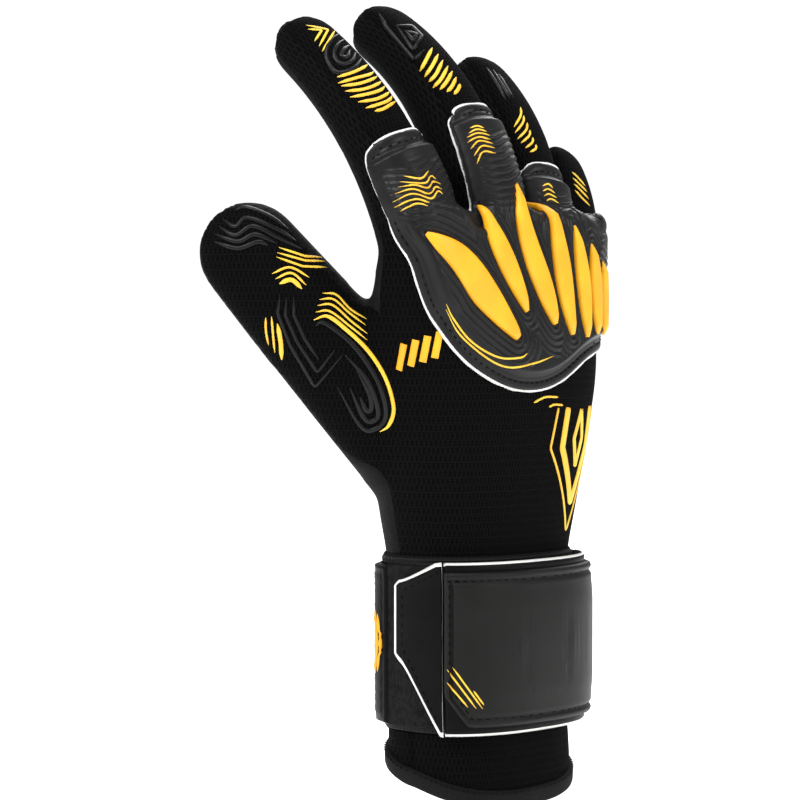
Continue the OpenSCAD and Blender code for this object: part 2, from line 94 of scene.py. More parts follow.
# %% Floor and lights
def lamp(name, azimuth, elevation, distance, size, power, tint=(1, 1, 1)):
    toward, _ = look(azimuth, elevation)
    light = bpy.data.lights.new(name, "AREA")
    light.shape, light.size, light.energy, light.color = "DISK", size, power, tint
    o = bpy.data.objects.new(name, light)
    o.location = Vector((0, 0, 0.15)) + toward * distance
    o.rotation_euler = toward.to_track_quat("Z", "Y").to_euler()
    bpy.context.scene.collection.objects.link(o)


lamp("key", -95, 40, 1.3, 0.6, 13)
lamp("fill", 15, 25, 1.3, 0.6, 8)
lamp("rim", 120, 40, 1.3, 0.8, 8)
lamp("top", -45, 75, 1.2, 0.6, 8)
world = bpy.data.worlds.new("room")
world.use_nodes = True
sky = world.node_tree.nodes["Background"]
seen_by = world.node_tree.nodes.new("ShaderNodeLightPath")
level = world.node_tree.nodes.new("ShaderNodeMapRange")
level.inputs[3].default_value, level.inputs[4].default_value = 0.42, 1.05
world.node_tree.links.new(seen_by.outputs["Is Camera Ray"], level.inputs[0])
world.node_tree.links.new(level.outputs[0], sky.inputs[1])
sky.inputs[0].default_value = (1, 1, 1, 1)
bpy.context.scene.world = world
bpy.context.scene.view_settings.view_transform = "Standard"

floor_bm = bmesh.new()
bmesh.ops.create_circle(floor_bm, cap_ends=True, segments=96, radius=6.0)
bmesh.ops.translate(floor_bm, verts=floor_bm.verts, vec=(0, 0, -0.004))
floor_mesh = bpy.data.meshes.new("floor")
floor_bm.to_mesh(floor_mesh)
floor = bpy.data.objects.new("floor", floor_mesh)
bpy.context.scene.collection.objects.link(floor)
floor_paint = bpy.data.materials.new("floor_paint")
floor_paint.use_nodes = True
floor_paint.node_tree.nodes["Principled BSDF"].inputs["Base Color"].default_value = (0.9, 0.9, 0.9, 1)
floor_paint.node_tree.nodes["Principled BSDF"].inputs["Roughness"].default_value = 0.9
floor_paint.node_tree.nodes["Principled BSDF"].inputs["Emission Color"].default_value = (1, 1, 1, 1)
floor_paint.node_tree.nodes["Principled BSDF"].inputs["Emission Strength"].default_value = 0.8
floor_mesh.materials.append(floor_paint)
print("lamps", len(bpy.data.lights))

# %% [markdown]
# ## Where things lie on the hand
# A glove has no flat side to measure from, so every place on it is given as an angle round a section
# and a distance along. A section is an ellipse with fuller corners. The hand has one straight axis, and
# each stall follows an arc from its root to its tip.


# %% Sections
def lobe(v):
    return np.sign(v) * np.abs(v) ** 0.8


def unlobe(v):
    return np.sign(v) * np.abs(v) ** 1.25


def smooth(lo, hi, v):
    q = np.clip((np.asarray(v, float) - lo) / (hi - lo), 0, 1)
    return q * q * (3 - 2 * q)


# height, middle x, middle y, half width, half depth of the hand, in millimetres
HAND = np.array([
    (-30, 1, 0, 35, 25), (20, 1, 0, 35, 25), (30, 0, 0, 34.5, 24), (84, 0, 0, 34.5, 24),
    (100, 0, 0, 38.5, 26), (122, 0, -1, 43, 27), (148, 0, -3, 48, 27), (175, -3, -6, 51, 21),
    (200, -2.5, -10, 51.5, 15.5), (240, -2.5, -10, 51.5, 15.5)])


def hand_ring(z):
    z = np.asarray(z, float)
    out = []
    for k in range(1, 5):
        out.append(sum(w * np.interp(z + dz, HAND[:, 0], HAND[:, k])
                       for dz, w in ((-8, 0.2), (-4, 0.2), (0, 0.2), (4, 0.2), (8, 0.2))))
    return out


def hand_point(z, t, off=0.0):
    cx, cy, a, b = hand_ring(z)
    r = np.radians(t)
    return np.stack([cx + (a + off) * lobe(np.sin(r)), cy - (b + off) * lobe(np.cos(r)),
                     np.asarray(z, float) + 0 * r], -1)


def hand_local(p):
    cx, cy, a, b = hand_ring(p[:, 2])
    return np.degrees(np.arctan2(unlobe((p[:, 0] - cx) / a), unlobe(-(p[:, 1] - cy) / b))), p[:, 2]


# %% [markdown]
# A stall is the sleeve that one finger goes into. It narrows to a rounded tip, and in a filled glove it is
# already a little curled. A bent cylinder would need bending afterwards; here the arc is part of the
# measure, so a point is always found from its distance along and its angle round, and back again.

# %% Stalls
class Stall:
    def __init__(self, root, spread, lean, roll, curl, length, w0, w1, d0, d1):
        b, a, r = (math.radians(v) for v in (spread, lean, roll))
        side = np.array([math.cos(b), 0, -math.sin(b)])
        rear = np.array([math.sin(a) * math.sin(b), -math.cos(a), math.sin(a) * math.cos(b)])
        self.root, self.length = np.array(root, float), length
        self.across = math.cos(r) * side + math.sin(r) * rear
        self.back = math.cos(r) * rear - math.sin(r) * side
        self.along = np.array([math.cos(a) * math.sin(b), math.sin(a), math.cos(a) * math.cos(b)])
        self.radius = length / math.radians(curl)
        self.size = (w0, w1, d0, d1)
        self.round_from = length - w1 * 1.05

    def widths(self, s):
        w0, w1, d0, d1 = self.size
        q = np.clip(s / self.length, -0.3, 1)
        return w0 + (w1 - w0) * q, d0 + (d1 - d0) * q

    def spine(self, s):
        a = np.asarray(s, float) / self.radius
        return (self.root + self.along * (self.radius * np.sin(a))[..., None]
                - self.back * (self.radius * (1 - np.cos(a)))[..., None])

    def rear_at(self, s):
        a = np.asarray(s, float) / self.radius
        return self.back * np.cos(a)[..., None] + self.along * np.sin(a)[..., None]

    def point(self, s, t, off=0.0):
        s = np.asarray(s, float)
        t = np.radians(np.asarray(t, float))
        w, d = self.widths(s)
        run = self.length - self.round_from
        a = np.clip((s - self.round_from) / run, 0, 1) * math.pi / 2
        reach = np.where(s <= self.round_from, s, self.round_from + (run + off) * np.sin(a))
        x = (w + off) * lobe(np.sin(t)) * np.cos(a)
        h = (d + off) * lobe(np.cos(t)) * np.cos(a)
        return self.spine(reach) + self.across * x[..., None] + self.rear_at(reach) * h[..., None]

    def local(self, p):
        """Distance along, angle round, and how far out a point lies: 1 is on the surface."""
        v = p - self.root
        x, u, n = v @ self.across, v @ self.along, v @ self.back
        s = self.radius * np.arctan2(u, n + self.radius)
        h = np.hypot(u, n + self.radius) - self.radius
        w, d = self.widths(s)
        t = np.degrees(np.arctan2(unlobe(x / w), unlobe(h / d)))
        return s, t, (np.abs(x / w) ** 2.5 + np.abs(h / d) ** 2.5) ** 0.4


def root_of(name):
    return [1000 * c for c in JOINTS[name + "_root_bend"]["pos_m"]]


STALLS = {
    "index": Stall(root_of("index"), -12, 10, 0, 46, 91, 12.7, 10.75, 13, 9.7),
    "middle": Stall(root_of("middle"), -2, 8, 0, 58, 94, 12.7, 10.75, 13, 9.7),
    "ring": Stall(root_of("ring"), 10, 8, 0, 50, 77, 12.7, 10.75, 13, 9.7),
    "little": Stall(root_of("little"), 22, 4, 0, 42, 55, 11.8, 10, 12.1, 9),
    "thumb": Stall((-26, 6, 125), -40, 18, 42, 14, 105, 22, 16.5, 15.8, 13.2),
}
FINGERS = ("index", "middle", "ring", "little")
# where a stall starts and ends to bend at its root, and where at its middle, in millimetres along it
BEND = {"index": (9, 36, 37, 60), "middle": (5, 37, 40, 63), "ring": (8, 30, 31, 53),
        "little": (4, 21, 22, 42), "thumb": (36, 58, 62, 84)}
for name, stall in STALLS.items():
    print(name, "tip at", stall.spine(stall.length).round(1))

# %% [markdown]
# ## The hand form
# A glovemaker's form is one smooth hand. Its parts are lofted separately, each from a grid wrapped into
# a tube, and a voxel remesh welds them into one skin. Smoothing then draws the webs between the fingers.


# %% Mapped grids
def new_object(name, bm):
    mesh = bpy.data.meshes.new(name)
    bm.to_mesh(mesh)
    bm.free()
    o = bpy.data.objects.new(name, mesh)
    bpy.context.scene.collection.objects.link(o)
    return o


def grid_on(place, nu, nv):
    """A grid whose points u, v from 0 to 1 are put where place(u, v) says, in millimetres."""
    bm = bmesh.new()
    bmesh.ops.create_grid(bm, x_segments=nu, y_segments=nv, size=1.0)
    co = np.array([v.co[:] for v in bm.verts])
    uv = (co[:, :2] + 1) / 2
    p = place(uv[:, 0], uv[:, 1]) * MM
    layer = bm.loops.layers.uv.new("cloth")
    for v, c, w in zip(bm.verts, p, uv):
        v.co = c
        for loop in v.link_loops:
            loop[layer].uv = w
    return bm


def tube_on(place, nu, nv):
    """As grid_on, with u wrapped round and both ends closed."""
    bm = grid_on(place, nu, nv)
    bmesh.ops.remove_doubles(bm, verts=bm.verts, dist=1e-6)
    bmesh.ops.holes_fill(bm, edges=[e for e in bm.edges if e.is_boundary], sides=0)
    bmesh.ops.recalc_face_normals(bm, faces=bm.faces)
    return bm


# %% [markdown]
# Each part is a tube of its own that starts deep inside the hand. Joining the tubes with booleans would
# leave hard creases between the fingers, where the real cloth is drawn round. The voxel remesh makes one
# skin with even faces instead, which is also what the panels are easiest to cut from.

# %% The form
parts = [tube_on(lambda u, v: hand_point(-25 + v * 228, u * 360), 64, 60)]
for name, stall in STALLS.items():
    start = -4 if name == "thumb" else -22
    parts.append(tube_on(lambda u, v: stall.point(start + v * (stall.length - start), u * 360), 40, 40))
whole = bmesh.new()
for part in parts:
    piece = bpy.data.meshes.new("part")
    part.to_mesh(piece)
    part.free()
    whole.from_mesh(piece)
form_object = new_object("form", whole)
remesh = form_object.modifiers.new("weld", "REMESH")
remesh.mode, remesh.voxel_size = "VOXEL", 1.5 * MM
form_mesh = bpy.data.meshes.new_from_object(form_object.evaluated_get(bpy.context.evaluated_depsgraph_get()))
bpy.data.objects.remove(form_object)
form = bmesh.new()
form.from_mesh(form_mesh)
print("form", len(form.verts), "points")


# %% [markdown]
# Where two fingers meet, the cloth spans the corner as a web, and so it does between thumb and hand. The
# whole form gets a light smoothing to lose the voxels' steps, and the webs get a good deal more.

# %% Smooth the form
def coords(bm):
    return np.array([v.co[:] for v in bm.verts])


def put(bm, p):
    for v, c in zip(bm.verts, p):
        v.co = c


def even_out(bm, verts):
    """Move each vertex halfway to the middle of its neighbours."""
    bmesh.ops.smooth_vert(bm, verts=verts, factor=0.5, use_axis_x=True, use_axis_y=True, use_axis_z=True)


for _ in range(6):
    even_out(form, form.verts)
p = coords(form) * 1000
near = np.stack([STALLS[n].local(p)[2] + 9 * (STALLS[n].local(p)[0] < -12) for n in STALLS])
near = np.sort(np.vstack([near, np.full(len(p), 9.0)]), 0)
in_web = (near[0] < 1.5) & (near[1] < 1.6)
s_thumb, _, out_thumb = STALLS["thumb"].local(p)
in_web |= (s_thumb > 2) & (s_thumb < 58) & (out_thumb < 1.5) & (np.abs(p[:, 0] + 45) < 22)
form.verts.ensure_lookup_table()
web = [v for v, inside in zip(form.verts, in_web) if inside]
for _ in range(24):
    even_out(form, web)
print("webs drawn over", len(web), "points")

# %% [markdown]
# ## Cutting the panels
# A glove like this is sewn from a mesh back, latex palm panels and narrow side gussets, one set for each
# stall. The form is cut where those seams run, and once more where a joint's bend begins, so that
# every piece crosses one joint only. The cuts are then drawn smooth, as a knife would leave them.

# %% Which panel a place belongs to
WRIST_CUT = 80                 # the cuff's cloth ends here, under the elastic
GUSSET = 58                    # a finger's back runs this many degrees either way


def hem_z(t):
    return 9 * (1 - np.cos(np.radians(t + 10)))


def panel_of(p):
    """The body and the panel of each point, written as one name."""
    t, z = hand_local(p)
    best = np.full(len(p), 1.5)
    palm = (80 - np.abs(t % 360 - 182)) * 0.8
    body = np.where(z < WRIST_CUT, "cuff", "hand").astype(object)
    angle = np.where(z < WRIST_CUT, np.abs(t), 0)
    side = (t > 74) & (t < 102)
    for name, stall in STALLS.items():
        s, a, level = stall.local(p)
        root_cut, tip_cut = BEND[name][0], BEND[name][2]
        thumb = name == "thumb"
        here = (level < best) & (s > (2 if thumb else -8)) & (s < stall.length + 9)
        if thumb:
            here &= level < 1.3
            own, w = (np.abs(a) - 75) * 0.3, smooth(2, 16, s) * smooth(1.3, 1.12, level)
            side &= ~here
        else:
            own, w = (np.abs(a) - 114) * 0.21, smooth(-6, 7, s)
            own = np.where(s > stall.length - 3, 1, own)
        palm = np.where(here, palm * (1 - w) + own * w, palm)
        best = np.where(here, level, best)
        for cut, part in ((root_cut, "_base"), (tip_cut, "_tip")):
            body = np.where(here & (s > cut), name + part, body)
        side = np.where(here & (s > root_cut), (not thumb) & (np.abs(a) > GUSSET), side)
    panel = np.where(palm > 0, "palm", np.where(side, "side", "back")).astype(object)
    panel = np.where(body == "cuff", np.where(angle > 90, "palm", "back"), panel)
    return np.array([f"{b}.{q}" for b, q in zip(body, panel)], object)


def centres(bm):
    return np.array([f.calc_center_median()[:] for f in bm.faces]) * 1000


middle_of_faces = centres(form)
below = middle_of_faces[:, 2] < hem_z(hand_local(middle_of_faces)[0]) + 2.5
form.faces.ensure_lookup_table()
bmesh.ops.delete(form, geom=[f for f, low in zip(form.faces, below) if low], context="FACES")
names = panel_of(centres(form))
kinds = sorted(set(names))
code = form.faces.layers.int.new("panel")
for face, name in zip(form.faces, names):
    face[code] = kinds.index(name)
print(len(kinds), "panels:", ", ".join(kinds))

# %% [markdown]
# The rules label each face by its middle, so a few faces along a seam fall on the wrong side of it. A
# knife leaves no islands. Three passes of a vote among neighbours clear them, without moving any point.

# %% Drop specks: a face takes the panel that most of its neighbours have
for _ in range(3):
    for face in form.faces:
        around = [g[code] for e in face.edges for g in e.link_faces if g is not face]
        top = max(set(around), key=around.count)
        if around.count(top) >= 3 and top != face[code]:
            face[code] = top
print("specks dropped from", len(form.faces), "faces")

# %% [markdown]
# A cut that follows faces runs in steps. Its points are drawn towards their neighbours along the cut, and
# kept on the form. A real seam pulls the cloth in where the thread holds it, so sewn cuts are then pressed
# in by under a millimetre. Cuts between two bodies of one panel aren't sewn and stay flush.

# %% Draw the cuts smooth, and press every sewn seam in a little
tree = BVHTree.FromBMesh(form)


def cut_lines(bm, layer):
    """The vertices on a cut, each with its two neighbours along it."""
    links = {}
    for e in bm.edges:
        kinds_here = {f[layer] for f in e.link_faces}
        if len(kinds_here) != 1 or len(e.link_faces) == 1:
            for v, w in (e.verts, reversed(e.verts)):
                links.setdefault(v, []).append(w)
    return {v: w for v, w in links.items() if len(w) == 2}


def draw_smooth(bm, lines, times, onto=None):
    for _ in range(times):
        moved = {v: v.co * 0.4 + (w[0].co + w[1].co) * 0.3 for v, w in lines.items()}
        for v, c in moved.items():
            v.co = (onto.find_nearest(c)[0] or c) if onto else c


lines = cut_lines(form, code)
draw_smooth(form, lines, 30, tree)
loose = [v for v in {u for v in lines for e in v.link_edges for u in e.verts} if v not in lines
         and not v.is_boundary]
for _ in range(6):
    even_out(form, loose)
form.normal_update()
sewn = set()
for e in form.edges:
    found = [kinds[f[code]].split(".") for f in e.link_faces]
    if len(found) == 2 and found[0][1] != found[1][1] and found[0][0] == found[1][0]:
        sewn.update(e.verts)
ring = {u for v in sewn for e in v.link_edges for u in e.verts} - sewn
move = [(v, 0.75) for v in sewn] + [(v, 0.22) for v in ring]
for v, depth in move:
    v.co -= v.normal * depth * MM
form.normal_update()
tree = BVHTree.FromBMesh(form)
print("seams pressed in at", len(sewn), "points")

# %% [markdown]
# ## Materials
# Everything is made from nodes. The knit and the elastic follow their piece's own map, which is laid out
# in millimetres round and along the cloth, so the knit's holes keep one size over every panel. The
# moulded, dipped and printed parts have no weave, and take their fine grain from their place instead.


# %% Node helpers
class Paint:
    def __init__(self, name, color=(0.02, 0.02, 0.02), rough=0.6, **inputs):
        self.material = bpy.data.materials.new(name)
        self.material.use_nodes = True
        self.tree = self.material.node_tree
        self.out = self.tree.nodes["Principled BSDF"]
        self.set("Base Color", (*color, 1))
        self.set("Roughness", rough)
        for key, value in inputs.items():
            self.set(key.replace("_", " "), value)

    def set(self, key, value):
        if isinstance(value, bpy.types.NodeSocket):
            self.tree.links.new(value, self.out.inputs[key])
        else:
            self.out.inputs[key].default_value = value

    def node(self, kind, *values, out=0, **props):
        n = self.tree.nodes.new("ShaderNode" + kind)
        for key, value in props.items():
            setattr(n, key, value)
        for i, value in enumerate(values):
            if isinstance(value, bpy.types.NodeSocket):
                self.tree.links.new(value, n.inputs[i])
            elif value is not None:
                n.inputs[i].default_value = value
        return n.outputs[out]

    def math(self, operation, *values):
        return self.node("Math", *values, operation=operation)

    def mix(self, factor, a, b):
        n = self.tree.nodes.new("ShaderNodeMix")
        n.data_type = "RGBA"
        for socket, value in zip((n.inputs[0], n.inputs[6], n.inputs[7]), (factor, a, b)):
            if isinstance(value, bpy.types.NodeSocket):
                self.tree.links.new(value, socket)
            else:
                socket.default_value = value if isinstance(value, float) else (*value, 1)
        return n.outputs[2]

    def step(self, value, low, high):
        return self.node("MapRange", value, low, high, 0.0, 1.0, interpolation_type="SMOOTHSTEP")

    def map(self):
        uv = self.node("UVMap", uv_map="cloth")
        n = self.tree.nodes.new("ShaderNodeSeparateXYZ")
        self.tree.links.new(uv, n.inputs[0])
        return n.outputs[0], n.outputs[1]

    def noise(self, scale, detail=2.0, stretch=None):
        place = self.node("TexCoord", out=3)
        if stretch:
            place = self.node("Mapping", place, None, None, stretch)
        n = self.tree.nodes.new("ShaderNodeTexNoise")
        n.inputs["Scale"].default_value, n.inputs["Detail"].default_value = scale, detail
        self.tree.links.new(place, n.inputs["Vector"])
        return n.outputs[0]

    def bump(self, height, distance, strength=1.0):
        n = self.tree.nodes.new("ShaderNodeBump")
        n.inputs["Strength"].default_value, n.inputs["Distance"].default_value = strength, distance
        self.tree.links.new(height, n.inputs["Height"])
        self.set("Normal", n.outputs[0])


# %% [markdown]
# The back and the sleeve are an airy knit: narrow upright holes in rows, each row shifted by half a hole.
# Real holes would take millions of faces. An ellipse in each cell of the map, sunk in the bump and painted
# darker as painted shade in the hole, gives the same look. A faint ripple between the holes stands for the
# yarn; it lifts the bump and paints the raised yarn lighter as a painted highlight.

# %% Knit, with staggered rows of narrow holes
def knit(name, wide, tall, color):
    paint = Paint(name, color, 0.85, Specular_IOR_Level=0.03)
    u, v = paint.map()
    row = paint.math("FLOOR", paint.math("DIVIDE", v, tall))
    across = paint.math("MULTIPLY_ADD", row, 0.5, paint.math("DIVIDE", u, wide))
    x = paint.math("SUBTRACT", paint.math("FRACT", across), 0.5)
    y = paint.math("SUBTRACT", paint.math("FRACT", paint.math("DIVIDE", v, tall)), 0.5)
    x2 = paint.math("POWER", paint.math("MULTIPLY", x, 5.2), 2.0)
    y2 = paint.math("POWER", paint.math("MULTIPLY", y, 2.4), 2.0)
    # painted shade: the ellipse marks each hole, which is sunk in the bump and painted darker than the yarn
    # round it
    hole_and_shade = paint.step(paint.math("ADD", x2, y2), 1.25, 0.6)
    yarn_and_highlight = paint.math("ADD", paint.math("SINE", paint.math("MULTIPLY", across, 12.566)),
                      paint.math("SINE", paint.math("MULTIPLY", v, 6.0)))
    fuzz = paint.noise(2500.0)
    # painted highlight: a lighter shade, mixed in along the yarn ripple as a painted highlight and by the
    # fine noise as random tone
    light = tuple(c * 3.4 for c in color)
    body = paint.mix(paint.math("MULTIPLY_ADD", yarn_and_highlight, 0.2, fuzz), color, light)
    paint.set("Base Color", paint.mix(hole_and_shade, body, (0.0012, 0.0012, 0.0013)))
    raised = paint.math("MULTIPLY_ADD", yarn_and_highlight, 0.12, fuzz)
    paint.bump(paint.math("SUBTRACT", raised, paint.math("MULTIPLY", hole_and_shade, 2.0)), 0.00035)
    return paint.material


PAINT = {"mesh_back": knit("knit_back", 1.6, 2.6, (0.0013, 0.0013, 0.0014)),
         "mesh_side": knit("knit_side", 2.0, 3.2, (0.0017, 0.0017, 0.0018)),
         "sleeve_knit": knit("knit_sleeve", 1.6, 2.6, (0.0013, 0.0013, 0.0014))}


# %% [markdown]
# The other surfaces have no weave, and differ in shade, shine and grain. The latex is dull, the moulded
# skin is satin, the prints are silicone, and the foam is chalky and open. One recipe with a table of
# finishes keeps them alike in kind; each has two close shades in patches, so no surface is flat colour.

# %% Latex, moulded skin, silicone, foam and yellow
def grained(name, color, other, rough, grain, depth, patch, specular):
    """A solid material with two shades in patches and a fine grain."""
    paint = Paint(name, color, rough, Specular_IOR_Level=specular)
    paint.set("Base Color", paint.mix(paint.step(paint.noise(patch), 0.35, 0.65), color, other))
    paint.bump(paint.noise(grain, 3.0), depth)
    return paint.material


# slot, material, its two shades, roughness, size of the grain, depth of the grain in metres, and more
SKINS = [
    ("palm_latex", "latex", (0.0045, 0.0045, 0.0048), (0.0062, 0.0062, 0.0066), 0.75, 1400.0, 0.0003,
     60.0, 0.08),
    ("moulded_pad", "moulded_skin", (0.0062, 0.0063, 0.0068), (0.008, 0.0081, 0.0087), 0.38, 1800.0, 0.00006,
     60.0, 0.15),
    ("white_foam", "foam_edge", (0.8, 0.8, 0.78), (0.68, 0.68, 0.66), 0.85, 3000.0, 0.0004, 60.0, 0.5),
    ("rib_yellow", "rib_skin", (0.8, 0.38, 0.006), (0.76, 0.33, 0.005), 0.45, 2200.0, 0.00008, 70.0, 0.35),
    ("print_yellow", "print_film", (0.74, 0.5, 0.03), (0.76, 0.42, 0.018), 0.5, 2500.0, 0.00008, 60.0, 0.5),
    ("grip_silicone", "grip_film", (0.003, 0.003, 0.0032), (0.006, 0.006, 0.0063), 0.35, 900.0, 0.00005,
     60.0, 0.15),
    ("hook_plastic", "hooks", (0.02, 0.02, 0.02), (0.03, 0.03, 0.03), 0.4, 5000.0, 0.001, 60.0, 0.5),
    ("loop_pile", "loops", (0.003, 0.003, 0.0033), (0.012, 0.012, 0.0125), 0.9, 4200.0, 0.0014, 400.0, 0.2),
    ("strap_web", "strap_skin", (0.0018, 0.0018, 0.0019), (0.0026, 0.0026, 0.0027), 0.4, 2600.0, 0.0001,
     60.0, 0.07),
    ("strap_pad", "strap_pad_skin", (0.0048, 0.0047, 0.0044), (0.0062, 0.006, 0.0057), 0.42, 2600.0, 0.00014,
     40.0, 0.13),
    ("binding", "binding_tape", (0.0025, 0.0025, 0.0027), (0.004, 0.004, 0.0042), 0.8, 3500.0, 0.0005,
     60.0, 0.15),
    ("thread", "thread", (0.0016, 0.0016, 0.0016), (0.003, 0.003, 0.003), 0.7, 4000.0, 0.0002, 60.0, 0.05)]
for slot, *finish in SKINS:
    PAINT[slot] = grained(*finish)
print("skins", len(SKINS))

# %% [markdown]
# The elastic is woven over rubber cords that run round the wrist, so its face is a row of round ribs.
# They could be modelled one by one, but at under 2 mm each a wave in the material does as well. The wave
# reads the band's own map, in millimetres, so the ribs stay level all the way round. The same wave paints
# the grooves between the ribs darker as painted shade and the crests lighter as a painted highlight.

# %% Ribbed elastic
elastic = Paint("elastic_ribs", (0.01, 0.01, 0.0105), 0.7, Specular_IOR_Level=0.15)
eu, ev = elastic.map()
rib_wave_and_shade = elastic.math("SINE", elastic.math("MULTIPLY", ev, 3.6))
cross = elastic.math("SINE", elastic.math("MULTIPLY", eu, 5.2))
# painted shade and highlight: the colour follows the rib wave, dark in the grooves and light on the crests
elastic.set("Base Color", elastic.mix(elastic.step(rib_wave_and_shade, -0.6, 0.8), (0.002, 0.002, 0.002),
                                      (0.009, 0.009, 0.0094)))
elastic.bump(elastic.math("MULTIPLY_ADD", cross, 0.25, rib_wave_and_shade), 0.0004)
PAINT["elastic"] = elastic.material
print("materials", len(PAINT))

# %% [markdown]
# ## The sewn panels
# Each panel is copied off the form, mapped, and given its thickness inwards. Its cut edges are kept
# sharp, so the rim of the cloth reads as an edge. The pieces of the cuff and the strap are tied to their
# body; the pieces on the hand and the stalls stay where they were made.


# %% Mapping, thickness and binding to the bodies
def arc_table(a, b):
    t = np.radians(np.arange(-180, 181, 2.0))
    x, y = a * lobe(np.sin(t)), b * lobe(np.cos(t))
    return np.concatenate([[0], np.cumsum(np.hypot(np.diff(x), np.diff(y)))])


ARC = {"hand": arc_table(47, 26), "finger": arc_table(12, 11.5), "thumb": arc_table(20, 15)}
for key, table in ARC.items():
    ARC[key] = table - table[90]


def arc(kind, t):
    return np.interp(t, np.arange(-180, 181, 2.0), ARC[kind])


ACROSS_X, ACROSS_Y = 0.682, -0.731        # across the view from 47 degrees round
FACING = -47.0                            # where round the hand that view meets it square on


def cloth_map(p, body):
    """Millimetres round and along the cloth at each point."""
    name = body.split("_")[0]
    if name in FINGERS:
        s, t, _ = STALLS[name].local(p)
        return arc("finger", t), s
    t, z = hand_local(p)
    seen = ACROSS_X * p[:, 0] + ACROSS_Y * p[:, 1]
    if name == "thumb":
        return seen, z
    edge = hand_point(z, np.full(len(z), FACING))
    edge_seen = ACROSS_X * edge[:, 0] + ACROSS_Y * edge[:, 1]
    t = np.where(t < -140, t + 360, t)
    round_from = edge_seen - arc("hand", FACING)
    return np.where(t < FACING, seen, round_from + arc("hand", np.clip(t, -180, 180))), z


def add_map(bm, body):
    layer = bm.loops.layers.uv.get("cloth") or bm.loops.layers.uv.new("cloth")
    u, v = cloth_map(coords(bm) * 1000, body)
    bm.verts.index_update()
    for face in bm.faces:
        for loop in face.loops:
            i = loop.vert.index
            loop[layer].uv = (u[i], v[i])


def on_stall(name, s):
    return Vector(STALLS[name].spine(np.array(float(s))) * MM)


def bind(o, body):
    """Tie a cuff or strap piece to its body; a piece on the hand or on a stall only has its placement baked
    in.
    """
    name, _, part = body.partition("_")
    if body == "hand":
        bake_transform(o)
    elif part == "base":
        on_stall(name, BEND[name][0])
        on_stall(name, BEND[name][1])
        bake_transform(o)
    elif part == "tip":
        on_stall(name, BEND[name][2])
        on_stall(name, BEND[name][3])
        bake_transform(o)
    else:
        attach(o, body)


def finished(name, bm, body, slot, nodes=(), paint=None):
    """Turn a mesh into a named piece with its material, pass it to bind for its body, and hide the CAD nodes
    that it stands for.
    """
    o = new_object(name, bm)
    o.data.materials.append(PAINT[paint or slot])
    for polygon in o.data.polygons:
        polygon.use_smooth = True
    bind(o, body)
    if nodes:
        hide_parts(*nodes)
    return o


def thicken(o, thickness, offset=-1.0):
    wall = o.modifiers.new("thickness", "SOLIDIFY")
    wall.thickness, wall.offset, wall.use_even_offset = thickness * MM, offset, False
    return o


def sharpen_rim(bm):
    for e in bm.edges:
        if e.is_boundary:
            e.smooth = False


# %% [markdown]
# Now the pieces are cut: each is a copy of the form with every other panel's faces taken away. Cloth is
# 1.6 mm thick and the latex palm, with its foam, 3.2 mm. The wall is added inwards, so the outside stays
# where the seams were drawn, and its smooth corners are kept off the rim by marking the rim sharp.

# %% Cut out every panel
SLOT_OF = {"back": ("mesh_back", 1.6), "side": ("mesh_side", 1.6), "palm": ("palm_latex", 3.2)}
for number, kind in enumerate(kinds):
    body, panel = kind.split(".")
    bm = form.copy()
    layer = bm.faces.layers.int["panel"]
    bmesh.ops.delete(bm, geom=[f for f in bm.faces if f[layer] != number], context="FACES")
    if not bm.faces:
        continue
    add_map(bm, body)
    sharpen_rim(bm)
    slot, thickness = SLOT_OF[panel]
    if body == "cuff":
        slot, thickness = "sleeve_knit", 1.6
    nodes = {"cuff.back": ["cuff_back"], "cuff.palm": ["cuff_palm"],
             "hand.back": ["hand_back", "thumb_root_back"], "hand.side": ["outer_gusset"],
             "hand.palm": ["hand_palm", "thumb_root_palm"]}.get(
        kind, [f"{body}_{'sides' if panel == 'side' else panel}"])
    thicken(finished(f"{body}_{panel}_panel", bm, body, slot, nodes), thickness)
print("panels made")

# %% [markdown]
# ## The moulded backhand panel
# The knuckle panel is a skin pressed over foam in a hot mould. White foam shows all round its cut edge,
# a flat border carries the stitching, and inside it the skin steps up and down in ridges that echo the
# raised ribs. It bends with the fingers, so each finger's part is a piece of its own.

# %% Its outline
PAD_LOW = np.array([
    (-100, 212), (-90, 203), (-82, 196), (-73, 191), (-67, 186), (-63, 179), (-58, 172), (-53, 166),
    (-48, 160.5), (-43, 156), (-36, 152), (-27, 148), (-17, 144.5), (-10, 143), (-4, 143), (1, 144),
    (8, 146.5), (18, 151), (29, 154.5), (39, 156), (58, 157), (72, 160)])
# each stall's part of the panel: where it ends along the stall, and its two edges round it
PAD_ON = {"index": (33, -84, 58), "middle": (36.5, -60, 60), "ring": (22, -54, 60), "little": (19, -44, 60)}


def pad_part(p):
    t, z = hand_local(p)
    part = np.where((z > np.interp(t, PAD_LOW[:, 0], PAD_LOW[:, 1])) & (t > -93) & (t < 71) & (z < 225),
                    "hand", "")
    part = part.astype(object)
    best = np.full(len(p), 1.5)
    s_thumb, _, level = STALLS["thumb"].local(p)
    part[(level < 1.2) & (s_thumb > 12)] = ""
    for name in FINGERS:
        s, a, level = STALLS[name].local(p)
        end, low, high = PAD_ON[name]
        here = (level < best) & (s > -2) & (s < STALLS[name].length + 9)
        inside = (a > low) & (a < high) & (s < end)
        part = np.where(here, np.where(inside, np.where(s > BEND[name][0], name, "hand"), ""), part)
        best = np.where(here, level, best)
    return part


